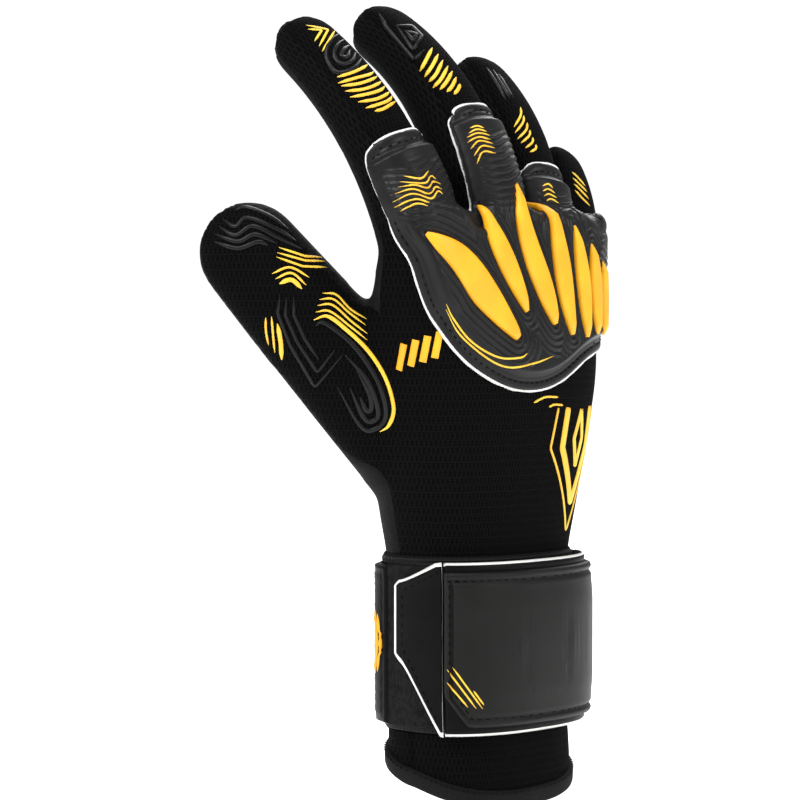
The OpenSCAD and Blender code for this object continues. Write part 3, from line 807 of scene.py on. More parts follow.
cover = form.copy()
parts_here = pad_part(centres(cover))
pad_code = cover.faces.layers.int.new("pad")
PAD_KINDS = ("", "hand") + FINGERS
for face, name in zip(cover.faces, parts_here):
    face[pad_code] = PAD_KINDS.index(name)
bmesh.ops.delete(cover, geom=[f for f in cover.faces if f[pad_code] == 0], context="FACES")
islands, seen = [], set()
for start in cover.faces:
    if start in seen:
        continue
    stack, group = [start], []
    seen.add(start)
    while stack:
        face = stack.pop()
        group.append(face)
        for e in face.edges:
            for other in e.link_faces:
                if other not in seen:
                    seen.add(other)
                    stack.append(other)
    islands.append(group)
bmesh.ops.delete(cover, geom=[f for group in islands if len(group) < 400 for f in group], context="FACES")
draw_smooth(cover, cut_lines(cover, pad_code), 40, tree)
inner = [v for v in cover.verts if not v.is_boundary]
for _ in range(3):
    even_out(cover, inner)
cover.normal_update()
print("panel", len(cover.faces), "faces in", len([g for g in islands if len(g) >= 400]), "island")


# %% [markdown]
# The panel is one sheet over the knuckles with a tongue up each finger. It is copied off the form like the
# cloth, so it lies on the hand exactly. Its rim is then put in order as one closed line, because the
# stitches, the foam and every step in the relief are measured from it.

# %% The outline as ordered points
def rims(bm):
    """Each boundary loop as a list of vertices in order, from the same first edge in every run."""
    left = dict.fromkeys(e for e in bm.edges if e.is_boundary)
    loops = []
    while left:
        e = next(iter(left))
        del left[e]
        loop = [e.verts[0], e.verts[1]]
        while True:
            onward = [x for x in loop[-1].link_edges if x in left]
            if not onward:
                break
            del left[onward[0]]
            loop.append(onward[0].other_vert(loop[-1]))
        loops.append(loop[:-1] if loop[0] is loop[-1] else loop)
    return sorted(loops, key=len, reverse=True)


def walk(points, normals, gap):
    """Points at one gap along a closed line, with the direction of travel and the surface normal."""
    p, n = np.array(points), np.array(normals)
    ring_p, ring_n = np.vstack([p, p[:1]]), np.vstack([n, n[:1]])
    at = np.concatenate([[0], np.cumsum(np.linalg.norm(np.diff(ring_p, axis=0), axis=1))])
    count = max(8, int(at[-1] / gap))
    want = np.arange(count) * at[-1] / count
    q = np.stack([np.interp(want, at, ring_p[:, k]) for k in range(3)], 1)
    m = np.stack([np.interp(want, at, ring_n[:, k]) for k in range(3)], 1)
    m /= np.linalg.norm(m, axis=1)[:, None]
    d = np.roll(q, -1, 0) - np.roll(q, 1, 0)
    return q, d / np.linalg.norm(d, axis=1)[:, None], m


outline = rims(cover)[0]
rim_p, rim_d, rim_n = walk([v.co[:] for v in outline], [v.normal[:] for v in outline], 0.4 * MM)
inward = np.cross(rim_n, rim_d)
middle = coords(cover).mean(0)
if np.sum(inward * (middle - rim_p)) < 0:
    inward = -inward
print("outline", round(len(rim_p) * 0.4), "mm")


def nearest(p, q, chunk=2000):
    """Distance from each point of p to the nearest point of q, and which one it is."""
    d, k = np.empty(len(p)), np.empty(len(p), int)
    q2 = (q ** 2).sum(1)
    for i in range(0, len(p), chunk):
        part = p[i:i + chunk]
        m = (part ** 2).sum(1)[:, None] + q2[None] - 2 * part @ q.T
        k[i:i + chunk] = m.argmin(1)
        d[i:i + chunk] = np.sqrt(np.maximum(m.min(1), 0))
    return d, k


# %% [markdown]
# Ribs, prints and thread are all lines that lie on something. A line is planned flat, in the measures of
# the part it lies on, and each of its points is then sent inwards until it meets the surface. A curve
# through the few points that were planned keeps it fair.

# %% Draping a line on a surface
def drape(kind, path, surface, lift=0.0):
    """Points (in millimetres) and normals where a path given in a part's own two measures meets a surface."""
    path = np.array(path, float)
    if kind == "sheet":
        eye = aim + back * 1.1
        goal = np.array([aim + right * (x * MM) + back.cross(right) * (z * MM) for x, z in path]) / MM
        start = np.array([eye] * len(path)) / MM
    elif kind == "hand":
        start = hand_point(path[:, 1], path[:, 0], 22.0)
        cx, cy, _, _ = hand_ring(path[:, 1])
        goal = np.stack([cx + 0.25 * (start[:, 0] - cx), cy, path[:, 1]], 1)
    else:
        stall = STALLS[kind]
        s = np.minimum(path[:, 0], stall.round_from + 2)
        far = stall.point(path[:, 0], path[:, 1], 16.0)
        start, goal = far, stall.spine(s)
    found, normals = [], []
    reach = 2.0 if kind == "sheet" else 0.06
    for a, b in zip(start, goal):
        hit, normal, _, _ = surface.ray_cast(Vector(a * MM), Vector(b - a).normalized(), reach)
        if hit is None:
            hit, normal, _, _ = surface.find_nearest(Vector((a + (b - a) * 0.5) * MM))
        found.append(np.array(hit) / MM + np.array(normal) * lift)
        normals.append(np.array(normal))
    n = np.array(normals)
    for _ in range(2):
        n[1:-1] = (n[:-2] + n[1:-1] * 2 + n[2:]) / 4
    return np.array(found), n / np.linalg.norm(n, axis=1)[:, None]


def curve(points, count, straight=False):
    """A smooth line through a few control points, or a straight one from each to the next."""
    p = np.array(points, float)
    if straight:
        x = np.linspace(0, len(p) - 1, count)
        return np.stack([np.interp(x, np.arange(len(p)), p[:, k]) for k in (0, 1)], 1)
    q = np.vstack([2 * p[0] - p[1], p, 2 * p[-1] - p[-2]])
    x = np.linspace(0, len(p) - 1 - 1e-9, count)
    i, f = x.astype(int), (x % 1)[:, None]
    a, b, c, d = q[i], q[i + 1], q[i + 2], q[i + 3]
    return 0.5 * (2 * b + (c - a) * f + (2 * a - 5 * b + 4 * c - d) * f ** 2
                  + (3 * b - a - 3 * c + d) * f ** 3)


# %% [markdown]
# Seven raised ribs fan out over the knuckles, wide in the middle and pointed at both ends. Their centre
# lines come before the panel itself, because the skin steps down round each of them.

# %% The raised ribs, as centre lines that widen and taper
# where each is measured, its line from the low end to the high end, and half its width
RIBS = [
    ("sheet", [(38.9, 21.7), (28.7, 35.7), (19.3, 48.3), (8.4, 58.1)], 5.8),
    ("sheet", [(42, 30.8), (36.8, 43.8), (31.5, 56), (27.3, 65.8)], 4),
    ("sheet", [(51.8, 26.3), (48, 38.5), (42, 56), (37.8, 75.3)], 4.6),
    ("hand", [(15, 162), (13, 184), (8, 207)], 4.4),
    ("hand", [(27, 161), (29, 180), (25, 200)], 4),
    ("hand", [(39, 162), (43, 178), (41, 194)], 4),
    ("hand", [(51, 162), (57, 174), (57, 188)], 3.8)]


def taper(q):
    return np.clip(np.sin(math.pi * (0.05 + 0.93 * q)), 0, 1) ** 0.75


rib_lines, rib_points, rib_widths = [], [], []
for measured, path, half in RIBS:
    line, normal = drape(measured, curve(path, 33), tree)
    rib_lines.append((line, normal, half))
    rib_points.append(line)
    rib_widths.append(half * taper(np.linspace(0, 1, 33)))
rib_points, rib_widths = np.vstack(rib_points), np.concatenate(rib_widths)
print("ribs from", round(min(rib_points[:, 2])), "to", round(max(rib_points[:, 2])), "mm up")


# %% [markdown]
# In the mould the skin is pushed into the foam: a flat border for the stitches, a padded inside, and steps
# that run round the ribs like contour lines. Sculpting would do it, but measured steps stay even. The mesh
# is divided four ways and each point is lifted by a height read from its distance to the rim and the ribs.

# %% Press the panel
FOAM, FLAT, SKIN = 0.9, 0.7, 2.2


def ridge(x):
    """One sharp-shouldered step for each whole number."""
    f = x % 1
    return np.where(f < 0.22, f / 0.22, (1 - (f - 0.22) / 0.78) ** 0.8)


def relief(p, edge):
    """How high the skin stands over the cloth at each point, from its distance to the panel's edge."""
    rim = np.sqrt(np.clip(1 - (1 - np.clip(edge / 1.0, 0, 1)) ** 2, 0, 1))
    gap = np.full(len(p), 99.0)
    for i in range(0, len(p), 4000):
        d = np.linalg.norm(p[i:i + 4000, None] - rib_points[None], axis=2) - rib_widths
        gap[i:i + 4000] = d.min(1)
    inside = smooth(7.0, 8.5, edge)
    h = FLAT * rim + (SKIN + 0.5 - FLAT) * smooth(4.2, 6.6, edge)
    near_rib = smooth(0.2, 0.9, gap) * (1 - smooth(9, 12, gap))
    h += (0.8 * ridge(np.maximum(gap, 0) / 2.2) - 0.5) * inside * near_rib
    h -= 0.6 * smooth(0.9, 0.1, np.abs(gap)) * inside
    groove = np.exp(-((edge - 2.9) / 0.45) ** 2) * 0.3
    for name in FINGERS:
        s, a, level = STALLS[name].local(p)
        end, cut = PAD_ON[name][0], BEND[name][0]
        w = smooth(cut - 7, cut + 4, s) * (level < 1.45) * (s < end + 3)
        side = np.sqrt(np.clip(1 - (1 - np.clip(edge / 2.6, 0, 1)) ** 2, 0, 1))
        own = FLAT * rim + (SKIN + 0.3 - FLAT) * side * (1 - smooth(end - 6.6, end - 4.4, s))
        along = s - 2.2 * np.abs(np.sin(np.radians(a * 1.9 + 40))) - 0.05 * np.abs(a)
        steps = smooth(3.6, 4.6, edge) * (1 - smooth(end - 12, end - 9, s))
        own += (0.8 * ridge(along / 2.2) - 0.35) * steps
        h, groove = h * (1 - w) + own * w, groove * (1 - w * (s < end - 4.4))
    return FOAM + h - groove


def press(kind):
    bm = cover.copy()
    layer = bm.faces.layers.int["pad"]
    number = PAD_KINDS.index(kind)
    bmesh.ops.delete(bm, geom=[f for f in bm.faces if f[layer] != number], context="FACES")
    bmesh.ops.subdivide_edges(bm, edges=bm.edges[:], cuts=3, use_grid_fill=True)
    free = [v for v in bm.verts if not v.is_boundary]
    for _ in range(5):
        even_out(bm, free)
    bm.normal_update()
    bm.verts.index_update()
    p = coords(bm) * 1000
    n = np.array([v.normal[:] for v in bm.verts])
    edge, _ = nearest(p, rim_p * 1000)
    at_cut = [v.index for v in bm.verts if v.is_boundary]
    n[at_cut] = cover_n[nearest(p[at_cut], cover_p)[1]]
    put(bm, (p + n * relief(p, edge)[:, None]) * MM)
    rim = [e for e in bm.edges if e.is_boundary]
    made = bmesh.ops.extrude_edge_only(bm, edges=rim)["geom"]
    down = [v for v in made if isinstance(v, bmesh.types.BMVert)]
    for v in down:
        hit, normal, _, _ = tree.find_nearest(v.co)
        v.co = hit - normal * 0.3 * MM
    for e in rim:
        e.smooth = False
    bmesh.ops.recalc_face_normals(bm, faces=bm.faces)
    return bm


def body_of(kind):
    return "hand" if kind == "hand" else kind + "_base"


cover_p, cover_n = coords(cover) * 1000, np.array([v.normal[:] for v in cover.verts])
pads = {}
for kind in ("hand",) + FINGERS:
    bm = press(kind)
    pads[kind] = BVHTree.FromBMesh(bm)
    nodes = ["backhand_pad"] if kind == "hand" else [f"{kind}_base_pad"]
    finished(f"{kind}_moulded_pad", bm, body_of(kind), "moulded_pad", nodes)
print("panel pressed in", len(pads), "parts")

# %% [markdown]
# The foam was cut by hand a little outside the skin, so a bright, slightly uneven line shows all round. It
# is a thin layer of its own under the skin, pushed out at the rim by half a millimetre to a millimetre.

# %% White foam under the panel's edge
for kind in ("hand",) + FINGERS:
    bm = cover.copy()
    layer = bm.faces.layers.int["pad"]
    bmesh.ops.delete(bm, geom=[f for f in bm.faces if f[layer] != PAD_KINDS.index(kind)], context="FACES")
    p = coords(bm)
    bm.normal_update()
    far, which = nearest(p * 1000, rim_p * 1000)
    spread = []
    for i, v in enumerate(bm.verts):
        grow = 0
        if far[i] < 0.5:
            grow = 0.75 + 0.35 * noise.noise(Vector(rim_p[which[i]] * 180))
        c = v.co - Vector(inward[which[i]]) * grow * MM
        spread.append(tuple(c + v.normal * (FOAM + 0.1) * MM))
    put(bm, np.array(spread))
    rim = [e for e in bm.edges if e.is_boundary]
    made = bmesh.ops.extrude_edge_only(bm, edges=rim)["geom"]
    for v in made:
        if isinstance(v, bmesh.types.BMVert):
            hit, normal, _, _ = tree.find_nearest(v.co)
            v.co = hit - normal * 0.3 * MM
    for e in rim:
        e.smooth = False
    bmesh.ops.recalc_face_normals(bm, faces=bm.faces)
    nodes = ["backhand_foam"] if kind == "hand" else []
    finished(f"{kind}_foam_edge", bm, body_of(kind), "white_foam", nodes)
print("foam under", len(pads), "parts")


# %% [markdown]
# A rib is a bar with a domed top that stands in its hollow in the skin. Sweeping one section along the
# centre line, and scaling it by the taper, closes both ends without a cap.

# %% The yellow ribs
def rib_body(line, normal, half, low, high, around=20, along=56, tip=None):
    """A closed, domed bar along a draped line."""
    d = np.gradient(line, axis=0)
    d /= np.linalg.norm(d, axis=1)[:, None]
    side = np.cross(d, normal)

    def place(u, v):
        x = v * (len(line) - 1)
        at = [np.stack([np.interp(x, np.arange(len(line)), a[:, k]) for k in range(3)], 1)
              for a in (line, side, normal)]
        w = half * (np.clip(np.sin(math.pi * (0.04 + 0.92 * v)) * tip, 0, 1) if tip else taper(v))
        r = u * 2 * math.pi
        across = np.sign(np.cos(r)) * np.abs(np.cos(r)) ** 0.6
        up = np.sign(np.sin(r)) * np.abs(np.sin(r)) ** 0.55
        tall = np.where(up > 0, low + (high - low) * up * np.clip(w / min(half, 2.2), 0.25, 1), low - 0.5)
        return at[0] + at[1] * (w * across)[:, None] + at[2] * tall[:, None]

    return tube_on(place, around, along)


def join(bms):
    whole = bmesh.new()
    for bm in bms:
        mesh = bpy.data.meshes.new("part")
        bm.to_mesh(mesh)
        bm.free()
        whole.from_mesh(mesh)
        bpy.data.meshes.remove(mesh)
    return whole


RIB_FOOT, RIB_TOP = FOAM + SKIN - 0.2, FOAM + SKIN + 1.9
ribs = join([rib_body(line, normal, half, RIB_FOOT, RIB_TOP) for line, normal, half in rib_lines])
finished("knuckle_ribs_raised", ribs, "hand", "rib_yellow", ["knuckle_ribs"])
print("ribs", len(rib_lines), "standing", round(RIB_TOP, 1), "mm over the cloth")

# %% [markdown]
# ## Stitches and printed film
# The thread lies in short dashes a little inside each sewn edge. The prints are a film of silicone that
# stands just proud of the cloth, so each line is a thin raised bar draped over what it is printed on.


# %% Helpers for thread and film
def stitch_bm(points, headings, normals, pitch=2.7, length=0.85, width=0.26):
    """Short capsules along a line whose points are 0.4 mm apart. All in metres."""
    bm = bmesh.new()
    jump = max(1, round(pitch / 0.4))
    for i in range(0, len(points), jump):
        d, n = Vector(headings[i]).normalized(), Vector(normals[i]).normalized()
        side = d.cross(n).normalized()
        m = Matrix((d * length * MM, side * width * MM, n * width * MM)).transposed().to_4x4()
        m.translation = Vector(points[i])
        bmesh.ops.create_icosphere(bm, subdivisions=1, radius=1.0, matrix=m)
    return bm


def unbroken(line, normal):
    """The longest stretch of a line that doesn't jump from one finger to the next."""
    gap = np.linalg.norm(np.diff(line, axis=0), axis=1)
    cuts = np.flatnonzero(gap > 3 * np.median(gap) + 0.6) + 1
    runs = np.split(np.arange(len(line)), cuts)
    run = max(runs, key=len)
    at = np.linspace(run[0], run[-1], len(line))
    return [np.stack([np.interp(at, np.arange(len(line)), a[:, k]) for k in range(3)], 1)
            for a in (line, normal)]


def film(kind, paths, surface, half, high=0.32, count=44, around=8, straight=False, tip=3):
    """Raised lines on a surface. Each path is a list of places, and half is half its width."""
    made = []
    for path in paths:
        line, normal = drape(kind, curve(path, count, straight), surface)
        if kind == "sheet":
            line, normal = unbroken(line, normal)
        made.append(rib_body(line, normal, half, 0.0, high, around, count, tip))
    return join(made)


# %% [markdown]
# The panel is held by one row of lockstitch in its flat border. Each visible dash is a small capsule half
# sunk in the skin, with the spacing that a sewing machine leaves. The dashes follow the hand's border and
# the ends of the finger parts only, since the sides of those are tucked under.

# %% Thread round the moulded panel, on each finger's part and on the hand's
sewn_p = rim_p + inward * 2.9 * MM
owner = pad_part(sewn_p * 1000)
for kind in ("hand",) + FINGERS:
    keep = [i for i in range(0, len(sewn_p), 7) if owner[i] == kind]
    if kind != "hand":
        along = STALLS[kind].local(sewn_p * 1000)[0]
        keep = [i for i in keep if along[i] > PAD_ON[kind][0] - 4.4]
    placed = []
    for i in keep:
        hit, normal, _, _ = pads[kind].find_nearest(Vector(sewn_p[i] + rim_n[i] * 2.6 * MM))
        placed.append((hit + normal * 0.05 * MM, rim_d[i], normal))
    bm = join([stitch_bm([p], [d], [n]) for p, d, n in placed])
    finished(f"{kind}_pad_stitches", bm, body_of(kind), "moulded_pad", [], "thread")
    print(kind, "stitches", len(placed))


# %% [markdown]
# The prints are drawn on a flat sheet, in millimetres to the right of its middle and above it, and laid
# on the glove from the side that the camera looks from. Each group is (half width, 1 for straight lines
# with corners, 0 for curves, or 2 for square-ended bars, and its lines).

# %% The print sheet
STENCIL = {
    "thumb_tip": [(0.42, 1, [[(-42.4, 53.4), (-33.2, 50.3), (-27.3, 49.9)], [(-43, 51.6), (-33.2, 48.8),
        (-26.2, 48.5)], [(-43.3, 50.1), (-34.1, 46.8), (-25.5, 46.4)]]), (0.42, 0, [[(-44.8, 44.2),
        (-38.5, 46.4), (-31.7, 42.9)], [(-43.6, 42.4), (-38, 44.4), (-32.8, 40.2)]]),
        (0.8, 0, [[(-42.2, 40.7), (-38, 42), (-34.3, 38.9)]]), (0.4, 0, [[(-47, 28.9), (-46.9, 24.5),
        (-46, 19.2)], [(-45, 29.3), (-44.4, 22.8), (-43.8, 16.6)]]), (0.85, 0, [[(-42.9, 26.7),
        (-41.8, 20.3), (-41.4, 14)]])],
    "thumb_base": [(0.4, 0, [[(-27.1, 37.4), (-22.3, 36.8), (-17.5, 31.9), (-11.8, 28.4)], [(-28.2, 35.2),
        (-23.2, 35.2), (-17.9, 30.6), (-12, 26.2)], [(-28.9, 33.1), (-23.6, 33.2), (-17, 27.5),
        (-11.4, 23.2)], [(-29.5, 30.8), (-24.5, 31), (-17.5, 25.8), (-11.5, 21)]]),
        (0.75, 0, [[(-30.2, 28), (-25.4, 29.3), (-19.2, 24.9), (-11.4, 17.5), (-5.2, 7.9), (-2.2, -2.6),
        (-3.9, -8.8), (-7, -11.1)]])],
    "index_tip": [(0.45, 1, [[(-33.9, 133), (-21.9, 130.8), (-27.2, 122)], [(-32.9, 131.2),
        (-25.2, 129.6), (-28.3, 123.8)], [(-32.2, 129.8), (-27.4, 129.4), (-29.9, 125.6)]]),
        (0.62, 0, [[(-22, 113), (-16.1, 114.8), (-11.2, 117.6), (-12.9, 120), (-11.5, 121.7)],
        [(-21.7, 110.9), (-15.4, 112.7), (-9.8, 114.4), (-9.2, 117.6), (-10.1, 119.1)], [(-20.6, 109.9),
        (-14, 110.8), (-8.4, 113), (-7.3, 115.5), (-8.6, 117.2)], [(-19.2, 108.1), (-12.6, 108.8),
        (-7.3, 110.9), (-5.6, 113.4)], [(-17.5, 106), (-11.2, 107.1), (-6.3, 108.8), (-4.5, 111.6)],
        [(-14.7, 104.3), (-8.4, 105.3), (-4.2, 107.4), (-3.5, 109.9)], [(-12, 102.2), (-7.7, 103.4),
        (-3.8, 105), (-2.4, 107.4)], [(-8.8, 101.1), (-5.6, 102), (-1.4, 104.6)]])],
    "middle_tip": [(0.7, 0, [[(11.3, 123.3), (9.1, 119), (7, 115)], [(13.4, 121.1), (11.2, 116.9),
        (8.6, 113)], [(15, 119), (12.6, 114.1), (10.1, 111.3)], [(16.8, 116.9), (14.3, 112.3),
        (11.5, 109.2)], [(18.3, 115.1), (16.4, 111.6), (14, 108.6)], [(19.7, 113), (18.2, 109.9),
        (16.4, 107.8)], [(21.1, 110.6), (20.3, 108.8), (18.9, 107)]])],
    "ring_tip": [(0.45, 0, [[(42.2, 102.5), (42.2, 99.6), (39.9, 95.5)], [(43.3, 99.6), (43, 97.1),
        (40.2, 93.4)], [(44.6, 97.1), (44.1, 94.5), (41.1, 91.3)], [(45.5, 94.5), (45.1, 92.4),
        (42.3, 89.9)], [(46.5, 91.9), (46.2, 90.1), (43.9, 88.2)], [(47.6, 89.4), (47.4, 87.9),
        (45.5, 86.8)]])],
    "little_tip": [(0.45, 0, [[(60.2, 79.8), (62.3, 77.7), (64.8, 74.9)], [(60.5, 77.7), (62.6, 75.6),
        (65.5, 72.8)], [(60.9, 75.6), (63, 73.5), (66.1, 70.3)], [(61.2, 73.5), (63.3, 71),
        (66.5, 67.9)]])],
    "index_pad": [(0.3, 0, [[(1.3, 78.4), (7.3, 77.6), (10.1, 80.3)], [(-0.2, 76.4), (8.6, 75.9),
        (10.6, 78.4), (12.6, 77.3)], [(-0.8, 74.5), (5.1, 75.3), (9.7, 74.2), (11.5, 76.4), (14.3, 75.6)],
        [(-1.8, 72.2), (4.4, 73.8), (10.1, 72.2), (12.4, 74.5), (14.7, 73.8)], [(-2.7, 69.2), (4.4, 72.2),
        (10.8, 70.5), (13.2, 73), (15, 72.1)], [(-2.1, 67.3), (5.1, 70.3), (11.2, 68.8)], [(0.1, 66.1),
        (5.9, 68.7), (11.6, 67.3)]])],
    "middle_pad": [(0.3, 0, [[(24.5, 95.2), (26.9, 95.9), (29.4, 95.2)], [(24.1, 93.4), (26.9, 94.7),
        (30.4, 94)], [(23.4, 91.9), (27.3, 93.4), (31.5, 92.6)], [(23.6, 90.1), (27.3, 92), (31.8, 91.2)],
        [(24.7, 87.8), (27.6, 90.6), (32.5, 89.8)], [(25.9, 85.4), (28.7, 88.9), (33.2, 88.2)],
        [(26.9, 82.6), (29, 86.8), (33.6, 86.4)]])],
    "ring_pad": [(0.3, 0, [[(49.9, 74.9), (51.8, 75.6), (53.5, 74.2)], [(50, 73.1), (51.8, 73.8),
        (54.2, 72.4)], [(50.4, 71.4), (52.1, 72.1), (54.9, 70.7)], [(51.1, 69.6), (52.8, 70.3),
        (55.6, 68.9)], [(52.1, 67.5), (53.9, 68.6), (56.3, 67.2)]])],
    "hand_pad": [(0.36, 0, [[(16.2, 33.6), (18.9, 28.2), (25, 20.5), (34.2, 15), (41.9, 14.8),
        (44.6, 16.3)], [(16.1, 31.7), (21, 22.8), (31.1, 14.3), (38.8, 11.4), (47.2, 12.9),
        (53.8, 15.4)]])],
    "thumb_tip_dark": [(0.8, 0, [[(-57.7, 66.5), (-53.5, 67.5), (-45.5, 64.4), (-37.8, 58.8)],
        [(-62.1, 63.4), (-57.7, 60.8), (-53.4, 63.9), (-42.9, 59.7), (-36, 55.5)], [(-63.4, 60.8),
        (-57.7, 57.7), (-51.6, 60.9), (-42.9, 57), (-34.1, 52.6)], [(-64.8, 58.2), (-56.9, 55.5),
        (-50.8, 57.9), (-42.9, 54.8)], [(-65.2, 55.5), (-56.9, 53.1), (-49.9, 55.3), (-46.2, 54.2)]])],
    "thumb_base_dark": [(0.6, 1, [[(-42, 36.8), (-42.9, 30.6), (-38.5, 19.2), (-29.7, 4.4),
        (-20.1, 15.7)], [(-39.8, 35.9), (-40.2, 29.7), (-35.9, 20.1), (-28.9, 9.6), (-22.8, 17.5)],
        [(-37.2, 36), (-37.2, 29.7), (-33.2, 21), (-28.4, 14)]]), (0.9, 0, [[(-29.7, 25.9), (-26.2, 26.8),
        (-16.1, 18.9), (-7.7, 6.3), (-4.9, -5.2), (-8.8, -10.3), (-14, -8.9), (-21.9, 4.4)],
        [(-19.2, 15.7), (-11.2, 6.3), (-7.6, -4.4), (-10.1, -7.6), (-13.1, -5.4), (-17.5, 4.2)],
        [(-15, 10.1), (-10.8, 2.4), (-10.1, -3.1), (-11.9, -3.5), (-14, 1)]])],
    "index_tip_dark": [(0.8, 0, [[(-18.9, 129.8), (-24.1, 126), (-25.9, 120.4), (-22.4, 114.8),
        (-16.1, 116.2), (-13.3, 119.7)], [(-17.5, 127.4), (-21.7, 124.6), (-23.1, 120.7), (-20.6, 117.6),
        (-16.8, 118.6), (-15.4, 121.8)], [(-16.1, 124.9), (-19.2, 123.2), (-20.6, 120.7), (-18.5, 120),
        (-17.5, 122.5)]])],
    "middle_tip_dark": [(0.8, 1, [[(-7.3, 135.1), (-4.9, 130.5), (4.9, 119), (8.4, 122.5)],
        [(-1.4, 131.2), (4.5, 122.5), (7.7, 127.4), (4.2, 130.9), (-1.4, 131.2)], [(1.8, 129.2),
        (4.7, 125.6), (5.8, 128.1), (1.8, 129.2)]])],
    "ring_tip_dark": [(0.7, 0, [[(30.4, 116.2), (33.9, 110.6), (37.1, 105)], [(32.5, 115.5),
        (35.7, 110.2), (38.5, 105.7)], [(34.6, 114.1), (37.4, 109.2), (39.5, 105.7)]])],
    "bars": [(1.35, 2, [[(-0.3, 10.5), (1.4, 19.6)], [(3.8, 11.9), (5.6, 21)], [(8, 13.3), (9.8, 22.4)],
        [(12.2, 14.7), (14, 23.8)]])],
    "strap": [(0.32, 1, [[(18.4, -93.6), (28.9, -108.1)], [(16.4, -94.3), (26.7, -108.1)], [(16.4, -98.9),
        (23.8, -107.6)], [(25.7, -101.8), (29.4, -106.8)]])],
}


print("print sheet:", sum(len(paths) for groups in STENCIL.values() for _, _, paths in groups), "lines")

# %% [markdown]
# The prints are silicone, pressed on hot, and stand a few tenths of a millimetre proud. An image laid on
# the cloth would be flat, so each stroke becomes a thin film with rounded sides. The print sheet says what
# goes where; the finger parts of the moulded panel get theirs laid on the skin and not on the knit.

# %% Lay the prints on the glove
def printed(key, surface, high=0.32):
    return join([film("sheet", paths, surface, half, high, straight=line > 0, tip=9 if line == 2 else 1.6)
                 for half, line, paths in STENCIL[key]])


for name in FINGERS:
    if name + "_pad" in STENCIL:
        finished(f"{name}_pad_lines", printed(name + "_pad", pads[name]), name + "_base", "print_yellow")
    stripes = printed(name + "_tip", tree)
    finished(f"{name}_tip_stripes", stripes, name + "_tip", "print_yellow", [f"{name}_tip_print"])
for part in ("base", "tip"):
    body = "thumb_" + part
    finished(body + "_lines", printed(body, tree), body, "print_yellow", [body + "_print"])
for body in ("thumb_base", "thumb_tip", "index_tip", "middle_tip", "ring_tip"):
    finished(body + "_grip", printed(body + "_dark", tree, 0.4), body, "grip_silicone")
finished("hand_pad_lines", printed("hand_pad", pads["hand"]), "hand", "print_yellow")
finished("side_bars", printed("bars", tree, 0.4), "hand", "rib_yellow", ["side_mark"])
print("prints laid on the fingers, the thumb and the hand")

# %% [markdown]
# On the back of the wrist is a larger print, drawn here as two nested chevrons round a diamond. It crosses
# the hand's widest curve, so it is planned round the hand and not on the flat sheet.

# %% The chevrons on the back of the hand
CHEVRON_AT = 28                # degrees round the hand
chevrons = [film("hand", [[(CHEVRON_AT - w, 137), (CHEVRON_AT - w * 1.15, 123), (CHEVRON_AT, low),
                           (CHEVRON_AT + w * 1.15, 123), (CHEVRON_AT + w, 137)]],
                 tree, half, 0.35, 80, straight=True, tip=6)
            for w, low, half in ((20, 93, 0.5), (13, 103, 1.7))]
diamond = film("hand", [[(28, 136), (23, 126), (28, 116), (33, 126), (28, 136)]], tree, 1.1, 0.35, 60,
               straight=True, tip=9)
flicks = film("sheet", [[(46.9, -0.9), (50.8, 1), (55.3, 1)], [(52.2, -2.4), (54, -1.6), (57, -1.8)]],
              tree, 0.4)
finished("back_chevrons", join(chevrons + [diamond, flicks]), "hand", "print_yellow", ["back_emblem"])
print("back print: 2 chevrons, a diamond and 2 flicks")

# %% [markdown]
# ## The wrist
# An elastic band is sewn round the sleeve. The strap starts at the little finger's side, crosses the
# back of the wrist with a padded block on it, and ends in a tab with hooks, which grip a field of loops
# on the thumb's side. All of it wraps the sleeve, so each layer is laid out round the wrist.

# %% A layer that wraps the wrist
PER_DEGREE = 0.64              # millimetres round the strap for each degree


def slab(t0, t1, low, high, inner, thick, edge_round=0.5, relief=None, steps=(90, 40)):
    """A closed layer from angle t0 to t1, between the edges low(t) and high(t), inner mm off the sleeve."""
    def place(u, v):
        t = t0 + (t1 - t0) * v
        z0, z1 = low(t), high(t)
        front = u < 0.5
        q = np.where(front, 2 * u, 2 - 2 * u)
        q = (1 - np.cos(math.pi * q)) / 2 * 0.35 + q * 0.65
        z = z0 + (z1 - z0) * q
        edge = np.minimum(np.minimum(z - z0, z1 - z), np.minimum(t - t0, t1 - t) * PER_DEGREE)
        if t1 - t0 >= 360:
            edge = np.minimum(z - z0, z1 - z)
        k = np.clip(edge / edge_round, 0, 1)
        off = inner + thick * (0.25 + 0.75 * np.sqrt(1 - (1 - k) ** 2))
        if relief:
            off = off + relief(t, z, edge)
        return hand_point(z, t, np.where(front & (q > 0) & (q < 1), off, inner))

    bm = tube_on(place, steps[1] * 2, steps[0])
    add_map(bm, "cuff")
    return bm


def even(value):
    return lambda t: np.full(np.shape(t), float(value))


def outline_at(*places):
    a = np.array(places, float)
    return lambda t: np.interp(t, a[:, 0], a[:, 1])


STRAP_LOW, STRAP_HIGH = 26, 86
ELASTIC, LOOPS, HOOKS, BAND, BLOCK = 0.45, 1.95, 3.35, 4.65, 6.15
finished("wrist_elastic_band", slab(-180, 180, even(STRAP_LOW), even(STRAP_HIGH + 1), ELASTIC, 1.1, 0.8,
                                    steps=(180, 24)), "cuff", "elastic", ["wrist_elastic"])
finished("loop_field", slab(-106, -59, even(28), even(84), LOOPS, 1.1,
                            relief=lambda t, z, e: 0.25 * np.sin(t * 9.1 + z * 3) * np.sin(z * 5.3 - t * 2)),
         "cuff", "loop_pile", ["loop_patch"])


def palm_end(t, z, edge):
    rings = np.hypot((t + 132) * PER_DEGREE * 1.4, z - 56)
    return 0.5 * ridge(rings / 3.2) * smooth(2.5, 4, edge)


